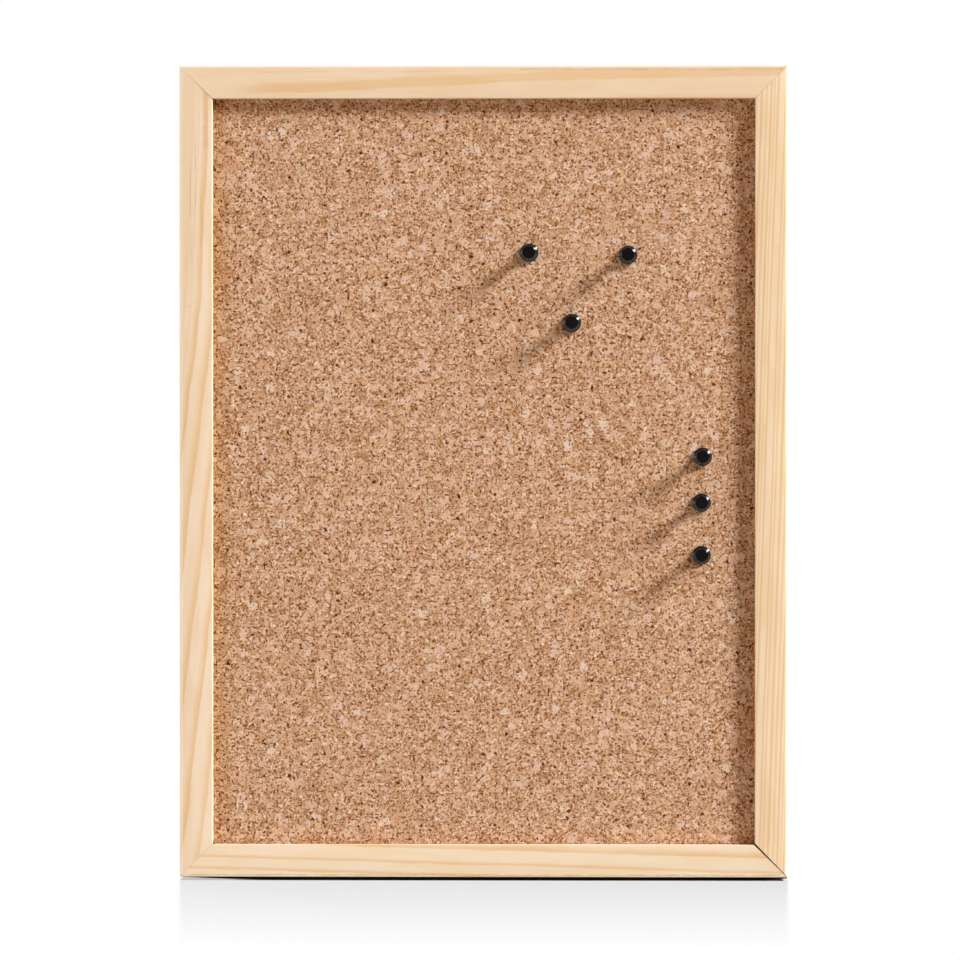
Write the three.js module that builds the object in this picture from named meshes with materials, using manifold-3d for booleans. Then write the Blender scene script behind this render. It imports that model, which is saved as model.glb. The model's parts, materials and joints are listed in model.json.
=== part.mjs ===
// A cork pin board in a mitred pine frame, with six push pins and two ring hangers on its back.
// Millimetres, +Z up, and the front faces -Y. The origin is the middle of the frame's bottom face.

import * as THREE from 'three';
import { mergeVertices } from 'three/addons/utils/BufferGeometryUtils.js';
import Module from 'manifold-3d';

// Overall size
const BOARD_WIDTH = 300;
const BOARD_HEIGHT = 400;

// Frame moulding: four mitred lengths with a groove that traps the panel
const RAIL_WIDTH = 16;
const FRONT_LIP = 4.3;
const BACK_LIP = 2.3;
const GROOVE_DEPTH = 6;
const OUTER_FRONT_ROUND = 2;
const OUTER_BACK_ROUND = 1;
const INNER_ROUND = 0.8;
const ROUND_STEPS = 4;
const MITRE_GAP = 0.12;

// The bottom right mitre stands open, and wider at its inner corner
const OPEN_MITRE_OUTER_GAP = 0.35;
const OPEN_MITRE_INNER_GAP = 0.55;

// Panel: cork on softboard on hardboard, bonded together
const CORK_THICKNESS = 2.5;
const CORE_THICKNESS = 7;
const BACKING_THICKNESS = 1.8;
const GLUE_LINE = 0.1;
const PANEL_FACE_CLEARANCE = 0.2;
const PANEL_EDGE_CLEARANCE = 0.5;

// V-nails across the mitres, driven in from the back
const NAIL_LEG = 6;
const NAIL_THICKNESS = 0.6;
const NAIL_DEPTH = 10;
const NAIL_INSET = 3.5;
const NAIL_SUNK = 0.3;
const NAIL_CLEARANCE = 0.3;

// Push pins
const HEAD_HEIGHT = 11.5;
const FLANGE_RADIUS = 4.5;
const FLANGE_THICKNESS = 1.3;
const FLANGE_RISE = 1.7;
const WAIST_RADIUS = 2.2;
const TOP_RADIUS = 3.75;
const TOP_THICKNESS = 2;
const TOP_FLARE = 1.3;
const HEAD_EDGE_ROUND = 0.65;
const NEEDLE_RADIUS = 0.55;
const NEEDLE_LENGTH = 9;
const NEEDLE_POINT = 2.2;
const HEAD_OVER_NEEDLE = 4;
const NEEDLE_FIT = 0.1;
const NEEDLE_HOLE_CLEARANCE = 0.3;
const HEAD_SEAT_GAP = 0.15;
const PIN_SIDES = 18;

// Where the pins stick: left from the opening's right edge, and down from its top edge
const PINS = [
  { left: 111.6, down: 76.1 },
  { left: 62.8, down: 77.2 },
  { left: 90.5, down: 110.7 },
  { left: 26, down: 176.7 },
  { left: 26.5, down: 199.3 },
  { left: 26.5, down: 225.2 },
];

// Ring hangers, screwed to the backs of the stiles
const HANGER_DROP = 50;
const STRAP_WIDTH = 7;
const STRAP_THICKNESS = 0.8;
const STRAP_SEAT_GAP = 0.1;
const ROLL_SLIT = 0.5;
const RING_WIRE = 1.6;
const RING_CORNER = 2;
const RING_ARM = 2.1;
const RING_PLAY = 0.2;
const RING_SIDE_PLAY = 0.4;
const RING_TO_SCREW = 0.9;
const RING_STEPS = 44;
const RING_SIDES = 8;
const SCREW_TO_ROLL = 1.1;
const SCREW_SHANK_RADIUS = 1.25;
const SCREW_HEAD_RADIUS = 2.7;
const SCREW_HEAD_HEIGHT = 1.9;
const SCREW_HEAD_EDGE = 0.7;
const SCREW_LENGTH = 11;
const SCREW_POINT = 2.6;
const SCREW_CLEARANCE = 0.3;
const SCREW_SEAT_GAP = 0.05;
const SCREW_WALL = 1.45;
const SLOT_WIDTH = 0.7;
const SLOT_LENGTH = 3;
const SLOT_DEPTH = 1;
const HANGER_SIDES = 20;

// Steps in a quarter-round edge of a turned piece
const LATHE_EDGE_STEPS = 3;

// How far a cutting shape runs past the faces that it cuts
const CUT_OVER = 2;

// Places that follow from the sizes
const PANEL_THICKNESS = CORK_THICKNESS + CORE_THICKNESS + BACKING_THICKNESS + 2 * GLUE_LINE;
const GROOVE_WIDTH = PANEL_THICKNESS + 2 * PANEL_FACE_CLEARANCE;
const FRAME_DEPTH = FRONT_LIP + GROOVE_WIDTH + BACK_LIP;
const FRONT_Y = -FRAME_DEPTH / 2;
const BACK_Y = FRAME_DEPTH / 2;
const GROOVE_FRONT_Y = FRONT_Y + FRONT_LIP;
const GROOVE_BACK_Y = BACK_Y - BACK_LIP;
const CORK_FRONT_Y = GROOVE_FRONT_Y + PANEL_FACE_CLEARANCE;
const CORE_FRONT_Y = CORK_FRONT_Y + CORK_THICKNESS + GLUE_LINE;
const BACKING_FRONT_Y = CORE_FRONT_Y + CORE_THICKNESS + GLUE_LINE;
const WEB_WIDTH = RAIL_WIDTH - GROOVE_DEPTH;
const PANEL_WIDTH = BOARD_WIDTH - 2 * (WEB_WIDTH + PANEL_EDGE_CLEARANCE);
const PANEL_HEIGHT = BOARD_HEIGHT - 2 * (WEB_WIDTH + PANEL_EDGE_CLEARANCE);
const OPENING_RIGHT = BOARD_WIDTH / 2 - RAIL_WIDTH;
const OPENING_TOP = BOARD_HEIGHT - RAIL_WIDTH;
const NEEDLE_IN_PANEL = NEEDLE_LENGTH - HEAD_SEAT_GAP;
const NEEDLE_BORE = HEAD_HEIGHT - HEAD_OVER_NEEDLE;
const WIRE_RADIUS = RING_WIRE / 2;
const ROLL_INNER = WIRE_RADIUS + RING_PLAY;
const ROLL_OUTER = ROLL_INNER + STRAP_THICKNESS;
const SCREW_DROP = ROLL_OUTER + SCREW_TO_ROLL + SCREW_HEAD_RADIUS;
const SCREW_SEAT_Y = BACK_Y + STRAP_SEAT_GAP + STRAP_THICKNESS + SCREW_SEAT_GAP;
const RING_DROP = SCREW_DROP + SCREW_HEAD_RADIUS + RING_TO_SCREW + WIRE_RADIUS;
const RING_WIDTH = STRAP_WIDTH + 2 * (RING_CORNER + RING_SIDE_PLAY);
const RING_AXIS_Y = BACK_Y + STRAP_SEAT_GAP + ROLL_OUTER;
const SCREW_HOLE_RADIUS = SCREW_SHANK_RADIUS + SCREW_CLEARANCE;
const HANGER_INSET = WEB_WIDTH - SCREW_WALL - SCREW_HOLE_RADIUS;

// Finishes
const pine = new THREE.MeshStandardMaterial({ color: 0xf0d3a8, roughness: 0.6, metalness: 0 });
const cork = new THREE.MeshStandardMaterial({ color: 0xc0936c, roughness: 0.95, metalness: 0 });
const softboard = new THREE.MeshStandardMaterial({ color: 0x9a8468, roughness: 0.95, metalness: 0 });
const hardboard = new THREE.MeshStandardMaterial({ color: 0x6b4a30, roughness: 0.7, metalness: 0 });
const blackPlastic = new THREE.MeshStandardMaterial({ color: 0x121214, roughness: 0.15, metalness: 0 });
const needleSteel = new THREE.MeshStandardMaterial({ color: 0xc8c8cc, roughness: 0.2, metalness: 1 });
const zincSteel = new THREE.MeshStandardMaterial({ color: 0xb9bcc0, roughness: 0.35, metalness: 1 });
const nailSteel = new THREE.MeshStandardMaterial({ color: 0x8d9094, roughness: 0.45, metalness: 1 });

const wasm = await Module();
wasm.setup();

// Joins a geometry's shared corners and drops the empty triangles at a lathe's axis.
function closedGeometry(geometry) {
  const bare = geometry.clone();
  bare.deleteAttribute('normal');
  bare.deleteAttribute('uv');
  const merged = mergeVertices(bare);
  const corners = merged.index.array;
  const kept = [];
  for (let i = 0; i < corners.length; i += 3) {
    const [a, b, c] = [corners[i], corners[i + 1], corners[i + 2]];
    if (a !== b && b !== c && c !== a) {
      kept.push(a, b, c);
    }
  }
  merged.setIndex(kept);
  return merged;
}

// A solid that can be cut and joined.
function toSolid(geometry) {
  const closed = closedGeometry(geometry);
  return new wasm.Manifold(new wasm.Mesh({
    numProp: 3,
    vertProperties: new Float32Array(closed.attributes.position.array),
    triVerts: new Uint32Array(closed.index.array),
  }));
}

function toGeometry(solid) {
  const mesh = solid.getMesh();
  const geometry = new THREE.BufferGeometry();
  geometry.setAttribute('position', new THREE.BufferAttribute(mesh.vertProperties, 3));
  geometry.setIndex(new THREE.BufferAttribute(mesh.triVerts, 1));
  return geometry;
}

function namedMesh(name, geometry, material) {
  const mesh = new THREE.Mesh(geometry, material);
  mesh.name = name;
  return mesh;
}

// A round bar along Y between two heights, for cutting holes.
function holeAlongY(radius, fromY, toY, x, z, sides) {
  const bar = new THREE.CylinderGeometry(radius, radius, toY - fromY, sides);
  bar.translate(x, (fromY + toY) / 2, z);
  return toSolid(bar);
}

// An outline in X and Z, extruded along Y between two heights.
function extrudeAlongY(outline, fromY, toY, curveSegments) {
  const settings = { depth: toY - fromY, bevelEnabled: false, curveSegments };
  const geometry = new THREE.ExtrudeGeometry(outline, settings);
  geometry.rotateX(Math.PI / 2);
  geometry.translate(0, toY, 0);
  return geometry;
}

// Draws on to a quarter-round corner and round it. The turn is where its arc starts, in quarters.
function roundCorner(outline, centreX, centreY, radius, turn) {
  const quarter = Math.PI / 2;
  outline.absarc(centreX, centreY, radius, turn * quarter, (turn + 1) * quarter);
}

// The moulding's section: x is the distance in from the outer side, y is the board's own Y.
function railSection() {
  const innerX = RAIL_WIDTH - INNER_ROUND;
  const section = new THREE.Shape();
  section.moveTo(innerX, FRONT_Y);
  roundCorner(section, innerX, FRONT_Y + INNER_ROUND, INNER_ROUND, -1);
  section.lineTo(RAIL_WIDTH, GROOVE_FRONT_Y);
  section.lineTo(WEB_WIDTH, GROOVE_FRONT_Y);
  section.lineTo(WEB_WIDTH, GROOVE_BACK_Y);
  section.lineTo(RAIL_WIDTH, GROOVE_BACK_Y);
  roundCorner(section, innerX, BACK_Y - INNER_ROUND, INNER_ROUND, 0);
  roundCorner(section, OUTER_BACK_ROUND, BACK_Y - OUTER_BACK_ROUND, OUTER_BACK_ROUND, 1);
  roundCorner(section, OUTER_FRONT_ROUND, FRONT_Y + OUTER_FRONT_ROUND, OUTER_FRONT_ROUND, 2);
  section.closePath();
  return section;
}

// How far a mitred end is cut back along the rail, at a distance in from the outer side.
function mitreCut(gaps, inset) {
  const gap = THREE.MathUtils.lerp(gaps.outer, gaps.inner, inset / RAIL_WIDTH);
  return inset + gap / Math.SQRT2;
}

// A length of moulding along X, its outer side on z = 0 and its inner side below.
function mitredLength(length, startGaps, endGaps) {
  const settings = { depth: 1, bevelEnabled: false, curveSegments: ROUND_STEPS };
  const geometry = new THREE.ExtrudeGeometry(railSection(), settings);
  const corners = geometry.attributes.position;
  for (let i = 0; i < corners.count; i += 1) {
    const inset = corners.getX(i);
    const y = corners.getY(i);
    const atStart = corners.getZ(i) < 0.5;
    const cut = mitreCut(atStart ? startGaps : endGaps, inset);
    const x = atStart ? cut - length / 2 : length / 2 - cut;
    corners.setXYZ(i, x, y, -inset);
  }
  return geometry;
}

// A V-nail's outline, its bend at the origin and its legs along -X and -Z, grown by a margin.
function nailOutline(margin) {
  const half = NAIL_THICKNESS / 2 + margin;
  const reach = NAIL_LEG + margin;
  const outline = new THREE.Shape();
  outline.moveTo(half, half);
  outline.lineTo(-reach, half);
  outline.lineTo(-reach, -half);
  outline.lineTo(-half, -half);
  outline.lineTo(-half, -reach);
  outline.lineTo(half, -reach);
  outline.closePath();
  return outline;
}

function nailGeometry() {
  const top = BACK_Y - NAIL_SUNK;
  return extrudeAlongY(nailOutline(0), top - NAIL_DEPTH, top, 1);
}

// The slot for a V-nail at one end of a rail, with a quarter turn for the end where the rail starts.
function nailSlot(length, atStart) {
  const floor = BACK_Y - NAIL_SUNK - NAIL_DEPTH - NAIL_CLEARANCE;
  const slot = extrudeAlongY(nailOutline(NAIL_CLEARANCE), floor, BACK_Y + CUT_OVER, 1);
  if (atStart) {
    slot.rotateY(-Math.PI / 2);
  }
  const reach = length / 2 - NAIL_INSET;
  slot.translate(atStart ? -reach : reach, 0, -NAIL_INSET);
  return toSolid(slot);
}

function railGeometry(side) {
  let rail = toSolid(mitredLength(side.length, side.startGaps, side.endGaps));
  rail = rail.subtract(nailSlot(side.length, true));
  rail = rail.subtract(nailSlot(side.length, false));
  for (const along of side.screwsAt) {
    const floor = SCREW_SEAT_Y - SCREW_LENGTH - SCREW_CLEARANCE;
    const hole = holeAlongY(
      SCREW_HOLE_RADIUS, floor, BACK_Y + CUT_OVER, along, -HANGER_INSET, HANGER_SIDES);
    rail = rail.subtract(hole);
  }
  return toGeometry(rail);
}

// One side of the frame with the V-nail at its end, running clockwise as seen from the front.
function frameSide(side) {
  const group = new THREE.Group();
  group.add(namedMesh(side.name, railGeometry(side), pine));
  const nail = namedMesh(side.nailName, nailGeometry(), nailSteel);
  nail.position.set(side.length / 2 - NAIL_INSET, 0, -NAIL_INSET);
  group.add(nail);
  group.position.set(side.x, 0, side.z);
  group.rotation.y = side.turn;
  return group;
}

function pineFrame() {
  const tight = { outer: MITRE_GAP, inner: MITRE_GAP };
  const open = { outer: OPEN_MITRE_OUTER_GAP, inner: OPEN_MITRE_INNER_GAP };
  const screwAlong = BOARD_HEIGHT / 2 - HANGER_DROP - SCREW_DROP;
  const sides = [
    {
      name: 'top_rail', nailName: 'v_nail_top_right', length: BOARD_WIDTH,
      x: 0, z: BOARD_HEIGHT, turn: 0, startGaps: tight, endGaps: tight, screwsAt: [],
    },
    {
      name: 'right_stile', nailName: 'v_nail_bottom_right', length: BOARD_HEIGHT,
      x: BOARD_WIDTH / 2, z: BOARD_HEIGHT / 2, turn: Math.PI / 2,
      startGaps: tight, endGaps: open, screwsAt: [-screwAlong],
    },
    {
      name: 'bottom_rail', nailName: 'v_nail_bottom_left', length: BOARD_WIDTH,
      x: 0, z: 0, turn: Math.PI, startGaps: open, endGaps: tight, screwsAt: [],
    },
    {
      name: 'left_stile', nailName: 'v_nail_top_left', length: BOARD_HEIGHT,
      x: -BOARD_WIDTH / 2, z: BOARD_HEIGHT / 2, turn: -Math.PI / 2,
      startGaps: tight, endGaps: tight, screwsAt: [screwAlong],
    },
  ];
  const frame = new THREE.Group();
  for (const side of sides) {
    frame.add(frameSide(side));
  }
  return frame;
}

function pinPlace(pin) {
  return { x: OPENING_RIGHT - pin.left, z: OPENING_TOP - pin.down };
}

// The hole that a needle makes, from in front of the cork to just past its point.
function needleHole(pin) {
  const { x, z } = pinPlace(pin);
  const radius = NEEDLE_RADIUS + NEEDLE_HOLE_CLEARANCE;
  const floor = CORK_FRONT_Y + NEEDLE_IN_PANEL + NEEDLE_HOLE_CLEARANCE;
  return holeAlongY(radius, CORK_FRONT_Y - CUT_OVER, floor, x, z, PIN_SIDES);
}

// One layer of the panel, with a hole for each needle that reaches into it.
function panelLayer(name, frontY, thickness, material) {
  const layer = new THREE.BoxGeometry(PANEL_WIDTH, thickness, PANEL_HEIGHT);
  layer.translate(0, frontY + thickness / 2, BOARD_HEIGHT / 2);
  let solid = toSolid(layer);
  for (const pin of PINS) {
    solid = solid.subtract(needleHole(pin));
  }
  return namedMesh(name, toGeometry(solid), material);
}

function panel() {
  const group = new THREE.Group();
  group.add(panelLayer('cork_sheet', CORK_FRONT_Y, CORK_THICKNESS, cork));
  group.add(panelLayer('softboard_core', CORE_FRONT_Y, CORE_THICKNESS, softboard));
  group.add(panelLayer('hardboard_back', BACKING_FRONT_Y, BACKING_THICKNESS, hardboard));
  return group;
}

// Points of a round edge on a lathe profile, from one angle to another.
function roundEdge(centreX, centreY, radius, fromAngle, toAngle) {
  const points = [];
  for (let step = 0; step <= LATHE_EDGE_STEPS; step += 1) {
    const angle = THREE.MathUtils.lerp(fromAngle, toAngle, step / LATHE_EDGE_STEPS);
    const x = centreX + radius * Math.cos(angle);
    const y = centreY + radius * Math.sin(angle);
    points.push(new THREE.Vector2(x, y));
  }
  return points;
}

// A push pin's head: a flange on the cork, a waist to grip and a round top, over a blind bore.
function headGeometry() {
  const bore = NEEDLE_RADIUS + NEEDLE_FIT;
  const quarter = Math.PI / 2;
  const flangeEdge = Math.min(HEAD_EDGE_ROUND, FLANGE_THICKNESS / 2);
  const topEdge = Math.min(HEAD_EDGE_ROUND, TOP_THICKNESS / 2);
  const flangeX = FLANGE_RADIUS - flangeEdge;
  const topX = TOP_RADIUS - topEdge;
  const topFloor = HEAD_HEIGHT - TOP_THICKNESS;
  const profile = [
    new THREE.Vector2(0, NEEDLE_BORE),
    new THREE.Vector2(bore, NEEDLE_BORE),
    new THREE.Vector2(bore, 0),
    ...roundEdge(flangeX, flangeEdge, flangeEdge, -quarter, 0),
    ...roundEdge(flangeX, FLANGE_THICKNESS - flangeEdge, flangeEdge, 0, quarter).slice(1),
    new THREE.Vector2(WAIST_RADIUS, FLANGE_THICKNESS + FLANGE_RISE),
    new THREE.Vector2(WAIST_RADIUS, topFloor - TOP_FLARE),
    ...roundEdge(topX, topFloor + topEdge, topEdge, -quarter, 0),
    ...roundEdge(topX, HEAD_HEIGHT - topEdge, topEdge, 0, quarter).slice(1),
    new THREE.Vector2(0, HEAD_HEIGHT),
  ];
  return closedGeometry(new THREE.LatheGeometry(profile, PIN_SIDES));
}

// A needle from its point in the panel to its blunt end in the head, with y = 0 under the head.
function needleGeometry() {
  const profile = [
    new THREE.Vector2(0, -NEEDLE_LENGTH),
    new THREE.Vector2(NEEDLE_RADIUS, NEEDLE_POINT - NEEDLE_LENGTH),
    new THREE.Vector2(NEEDLE_RADIUS, NEEDLE_BORE - NEEDLE_FIT),
    new THREE.Vector2(0, NEEDLE_BORE - NEEDLE_FIT),
  ];
  return closedGeometry(new THREE.LatheGeometry(profile, PIN_SIDES));
}

// A pin stands straight out of the cork, towards -Y.
function pushPin(pin, number) {
  const { x, z } = pinPlace(pin);
  const group = new THREE.Group();
  group.add(namedMesh(`pin_head_${number}`, headGeometry(), blackPlastic));
  group.add(namedMesh(`pin_needle_${number}`, needleGeometry(), needleSteel));
  group.position.set(x, CORK_FRONT_Y - HEAD_SEAT_GAP, z);
  group.rotation.x = Math.PI;
  return group;
}

// The strap's side view, in Y and Z round the ring's axis: a flat tail, rolled over into an eye.
function strapSideView() {
  const tail = SCREW_DROP + STRAP_WIDTH / 2 + CUT_OVER;
  const endAngle = -Math.acos((ROLL_SLIT - ROLL_INNER) / ROLL_OUTER);
  const side = new THREE.Shape();
  side.moveTo(-ROLL_OUTER, -tail);
  side.lineTo(-ROLL_OUTER, 0);
  side.absarc(0, 0, ROLL_OUTER, Math.PI, endAngle, true);
  side.absarc(0, 0, ROLL_INNER, endAngle, Math.PI, false);
  side.lineTo(-ROLL_INNER, -tail);
  side.closePath();
  return side;
}

// The strap's face, in X and Z: straight sides, a round lower end and the screw's hole.
function strapFace() {
  const half = STRAP_WIDTH / 2;
  const face = new THREE.Shape();
  face.moveTo(half, ROLL_OUTER + CUT_OVER);
  face.lineTo(-half, ROLL_OUTER + CUT_OVER);
  face.lineTo(-half, -SCREW_DROP);
  face.absarc(0, -SCREW_DROP, half, Math.PI, 2 * Math.PI);
  face.closePath();
  const hole = new THREE.Path();
  hole.absarc(0, -SCREW_DROP, SCREW_HOLE_RADIUS, 0, 2 * Math.PI, true);
  face.holes.push(hole);
  return face;
}

// The rolled strip, trimmed to the strap's face.
function strapGeometry() {
  const settings = {
    depth: STRAP_WIDTH + 2 * CUT_OVER, bevelEnabled: false, curveSegments: HANGER_SIDES,
  };
  const rolled = new THREE.ExtrudeGeometry(strapSideView(), settings);
  rolled.translate(0, 0, -settings.depth / 2);
  const alongX = new THREE.Matrix4().makeBasis(
    new THREE.Vector3(0, 1, 0), new THREE.Vector3(0, 0, 1), new THREE.Vector3(1, 0, 0));
  rolled.applyMatrix4(alongX);
  const reach = ROLL_OUTER + CUT_OVER;
  const face = extrudeAlongY(strapFace(), -reach, reach, HANGER_SIDES);
  return toGeometry(toSolid(rolled).intersect(toSolid(face)));
}

// The ring's wire line, in X and Z: an arm, a round foot, an arm, and a bar through the strap's eye.
function ringLine() {
  const half = RING_WIDTH / 2;
  const quarter = Math.PI / 2;
  const armEnd = -RING_CORNER - RING_ARM;
  const line = new THREE.Path();
  line.moveTo(half - RING_CORNER, 0);
  line.absarc(half - RING_CORNER, -RING_CORNER, RING_CORNER, quarter, 0, true);
  line.absellipse(0, armEnd, half, RING_DROP + armEnd, 0, -Math.PI, true, 0);
  line.absarc(RING_CORNER - half, -RING_CORNER, RING_CORNER, Math.PI, quarter, true);
  line.closePath();
  return line;
}

class UprightCurve extends THREE.Curve {
  constructor(line) {
    super();
    this.line = line;
  }

  getPoint(t, target = new THREE.Vector3()) {
    const point = this.line.getPointAt(t);
    return target.set(point.x, 0, point.y);
  }
}

function ringGeometry() {
  const centreLine = new UprightCurve(ringLine());
  const tube = new THREE.TubeGeometry(centreLine, RING_STEPS, WIRE_RADIUS, RING_SIDES, true);
  return closedGeometry(tube);
}

// A pan-head wood screw with a cross recess, y = 0 under its head.
function screwGeometry() {
  const quarter = Math.PI / 2;
  const edge = Math.min(SCREW_HEAD_EDGE, SCREW_HEAD_HEIGHT);
  const profile = [
    new THREE.Vector2(0, -SCREW_LENGTH),
    new THREE.Vector2(SCREW_SHANK_RADIUS, SCREW_POINT - SCREW_LENGTH),
    new THREE.Vector2(SCREW_SHANK_RADIUS, 0),
    new THREE.Vector2(SCREW_HEAD_RADIUS, 0),
    ...roundEdge(SCREW_HEAD_RADIUS - edge, SCREW_HEAD_HEIGHT - edge, edge, 0, quarter),
    new THREE.Vector2(0, SCREW_HEAD_HEIGHT),
  ];
  let screw = toSolid(new THREE.LatheGeometry(profile, HANGER_SIDES));
  for (const [width, height] of [[SLOT_LENGTH, SLOT_WIDTH], [SLOT_WIDTH, SLOT_LENGTH]]) {
    const slot = new THREE.BoxGeometry(width, 2 * SLOT_DEPTH, height);
    slot.translate(0, SCREW_HEAD_HEIGHT, 0);
    screw = screw.subtract(toSolid(slot));
  }
  return toGeometry(screw);
}

// A strap, its ring and its screw, with the origin on the ring's axis.
function ringHanger(sideName, x) {
  const group = new THREE.Group();
  group.add(namedMesh(`hanger_strap_${sideName}`, strapGeometry(), zincSteel));
  group.add(namedMesh(`hanger_ring_${sideName}`, ringGeometry(), zincSteel));
  const screw = namedMesh(`hanger_screw_${sideName}`, screwGeometry(), zincSteel);
  screw.position.set(0, SCREW_SEAT_Y - RING_AXIS_Y, -SCREW_DROP);
  group.add(screw);
  group.position.set(x, RING_AXIS_Y, BOARD_HEIGHT - HANGER_DROP);
  return group;
}

const board = new THREE.Group();
board.add(pineFrame());
board.add(panel());
PINS.forEach((pin, index) => {
  board.add(pushPin(pin, index + 1));
});
board.add(ringHanger('left', HANGER_INSET - BOARD_WIDTH / 2));
board.add(ringHanger('right', BOARD_WIDTH / 2 - HANGER_INSET));

export default board;
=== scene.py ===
"""A cork pin board as it looks: pine frame, pressed cork, black push pins and ring hangers."""
import json
import math
from typing import NamedTuple

import bmesh
import bpy
import numpy as np
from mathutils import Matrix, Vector


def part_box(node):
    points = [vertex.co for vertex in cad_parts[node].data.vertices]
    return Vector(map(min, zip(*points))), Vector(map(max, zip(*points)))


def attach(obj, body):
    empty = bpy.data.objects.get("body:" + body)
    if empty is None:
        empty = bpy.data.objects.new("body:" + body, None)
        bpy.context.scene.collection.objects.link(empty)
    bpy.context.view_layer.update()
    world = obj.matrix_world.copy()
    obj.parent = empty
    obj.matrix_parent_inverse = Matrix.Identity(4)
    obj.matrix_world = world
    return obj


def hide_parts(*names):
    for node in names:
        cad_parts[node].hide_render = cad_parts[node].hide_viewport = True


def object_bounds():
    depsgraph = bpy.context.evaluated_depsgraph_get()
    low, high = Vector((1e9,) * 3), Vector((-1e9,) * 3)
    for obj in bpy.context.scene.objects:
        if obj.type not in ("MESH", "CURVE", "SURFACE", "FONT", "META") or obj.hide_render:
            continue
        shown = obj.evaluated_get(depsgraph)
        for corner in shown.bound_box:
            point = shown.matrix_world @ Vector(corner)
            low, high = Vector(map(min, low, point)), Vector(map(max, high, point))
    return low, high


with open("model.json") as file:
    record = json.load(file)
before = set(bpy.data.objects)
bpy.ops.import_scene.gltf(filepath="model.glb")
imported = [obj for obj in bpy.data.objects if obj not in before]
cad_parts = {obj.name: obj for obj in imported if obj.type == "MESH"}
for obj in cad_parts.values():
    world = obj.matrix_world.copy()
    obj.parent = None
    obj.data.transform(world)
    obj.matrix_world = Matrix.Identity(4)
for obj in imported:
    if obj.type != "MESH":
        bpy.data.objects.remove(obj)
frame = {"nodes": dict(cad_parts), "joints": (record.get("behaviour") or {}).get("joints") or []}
cad_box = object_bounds()

# Sizes are in millimetres; the mesh maker turns them into Blender's metres.
MM = 0.001
QUARTER = math.pi / 2
SLIVER = 0.001
AXIS_RADIUS = 0.001
CUT_OVER = 1.0

# The frame's moulding.
RAIL_WIDTH = 16.0
OUTER_BACK_ROUND = 1.0
INNER_BACK_ROUND = 0.8
FRONT_LIP = 4.3
BACK_LIP = 2.3
GROOVE_DEPTH = 6.0
ROUND_STEPS = 10
RAIL_STATIONS = 40
EASED_EDGE = 0.05
EASED_ANGLE = 40.0
EASED_STEPS = 3
MITRE_PULL = 0.9
NAIL_INSET = 3.5
NAIL_LEG = 6.0
NAIL_THICKNESS = 0.6
NAIL_PINCH = 0.07
NAIL_SLOT_DEPTH = 10.5

# The cork's relief.
CORK_SEED = 5
CORK_STEP = 0.8
CORK_UNDER_LIP = 1.6
GRANULE_GAP = 1.5
GRANULE_STEP = 0.045
GRANULE_GROOVE = 0.06
GROOVE_FALL = 0.35
HIGHEST_GRANULE = 0.15
PIT_DEPTH = 0.22
PIT_SHARE = 0.035
NEEDLE_HOLE_RADIUS = 0.72
HOLE_REACH = 1.7
HOLE_SIDES = 20

# A push pin.
PIN_COUNT = 6
FLANGE_THICKNESS = 1.3
FLANGE_ROUND = 0.35
FLANGE_RISE = 1.7
WAIST_RADIUS = 1.75
TOP_RADIUS = 3.6
TOP_THICKNESS = 2.0
TOP_FLARE = 1.3
TOP_DISH = 0.01
DISH_BEGINS = 0.96
DISH_FULL = 0.5
FLANGE_SPREAD = 0.15
HEAD_EDGE_ROUND = 0.7
HEAD_UNDER_ROUND = 0.65
NEEDLE_RADIUS = 0.55
NEEDLE_POINT = 2.2
NEEDLE_POINT_BULGE = 1.25
NEEDLE_CHAMFER = 0.15
NEEDLE_NECK = 0.5
PIN_SIDES = 72
EDGE_STEPS = 8

# A ring hanger.
STRAP_THICKNESS = 0.8
STRAP_EDGE = 0.16
STRAP_TIP = 0.25
STRAP_TAIL_STEPS = 12
ROLL_INNER = 1.0
ROLL_OUTER = 1.8
ROLL_SLIT = 0.5
ROLL_STEPS = 48
RING_WIRE = 1.6
RING_CORNER = 2.0
RING_ARM = 2.1
RING_STEPS = 30
WIRE_SIDES = 20
SCREW_SHANK_RADIUS = 1.25
SCREW_HEAD_HEIGHT = 1.9
SCREW_HEAD_EDGE = 0.7
SCREW_POINT = 2.6
SCREW_TIP_SHARE = 0.05
SCREW_PLAIN = 1.5
SCREW_NECK = 1.3
SCREW_THREAD_PITCH = 1.3
SCREW_THREAD_RISE = 0.28
SCREW_THREAD_STEPS = 6
SLOT_WIDTH = 0.7
SLOT_LENGTH = 3.0
SLOT_DEPTH = 1.0
SCREW_SIDES = 40

# The dark strip that paints the shade under the frame, and the shade on the floor: painted in front of the
# board, real under and behind it.
CONTACT_GAP = 1.7
CONTACT_INSET = 0.8
CONTACT_DEPTH = 9.0
CONTACT_WIDTH_SHARE = 0.997
CONTACT_STEPS = 60
SHADE_REACH = 425.0
SHADE_SHARE = 0.52
BACK_SHADE_REACH = 120.0

# The studio, in metres, with colours as light; only the camera's sensor is in millimetres.
WHITE = (1.0, 1.0, 1.0, 1.0)
FLOOR_REACH = 20.0
FLOOR_NEAR = -1.5
FLOOR_COLOUR = (0.39, 0.37, 0.348, 1.0)
SKY_FRONT = (0.422, 0.312, 0.205, 1.0)
SKY_SIDE = (0.135, 0.11, 0.085, 1.0)
SKY_BACK = (0.22, 0.2, 0.17, 1.0)
KEY_WAY = Vector((2.6, -1.0, 1.9)).normalized()
KEY_DISTANCE = 14.0
KEY_SIZE = 3.4
KEY_POWER = 4090.0
KEY_TINT = (0.866, 1.007, 1.143)
LEFT_PLACE = (-2.5, 0.3, 0.5)
LEFT_SIZE = 1.0
LEFT_POWER = 60.0
BACK_PLACE = (-0.9, 2.5, 1.1)
BACK_SIZE = 1.2
BACK_POWER = 40.0
CAMERA_DISTANCE = 3.5
CAMERA_AZIMUTH = math.radians(1.2)
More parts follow.
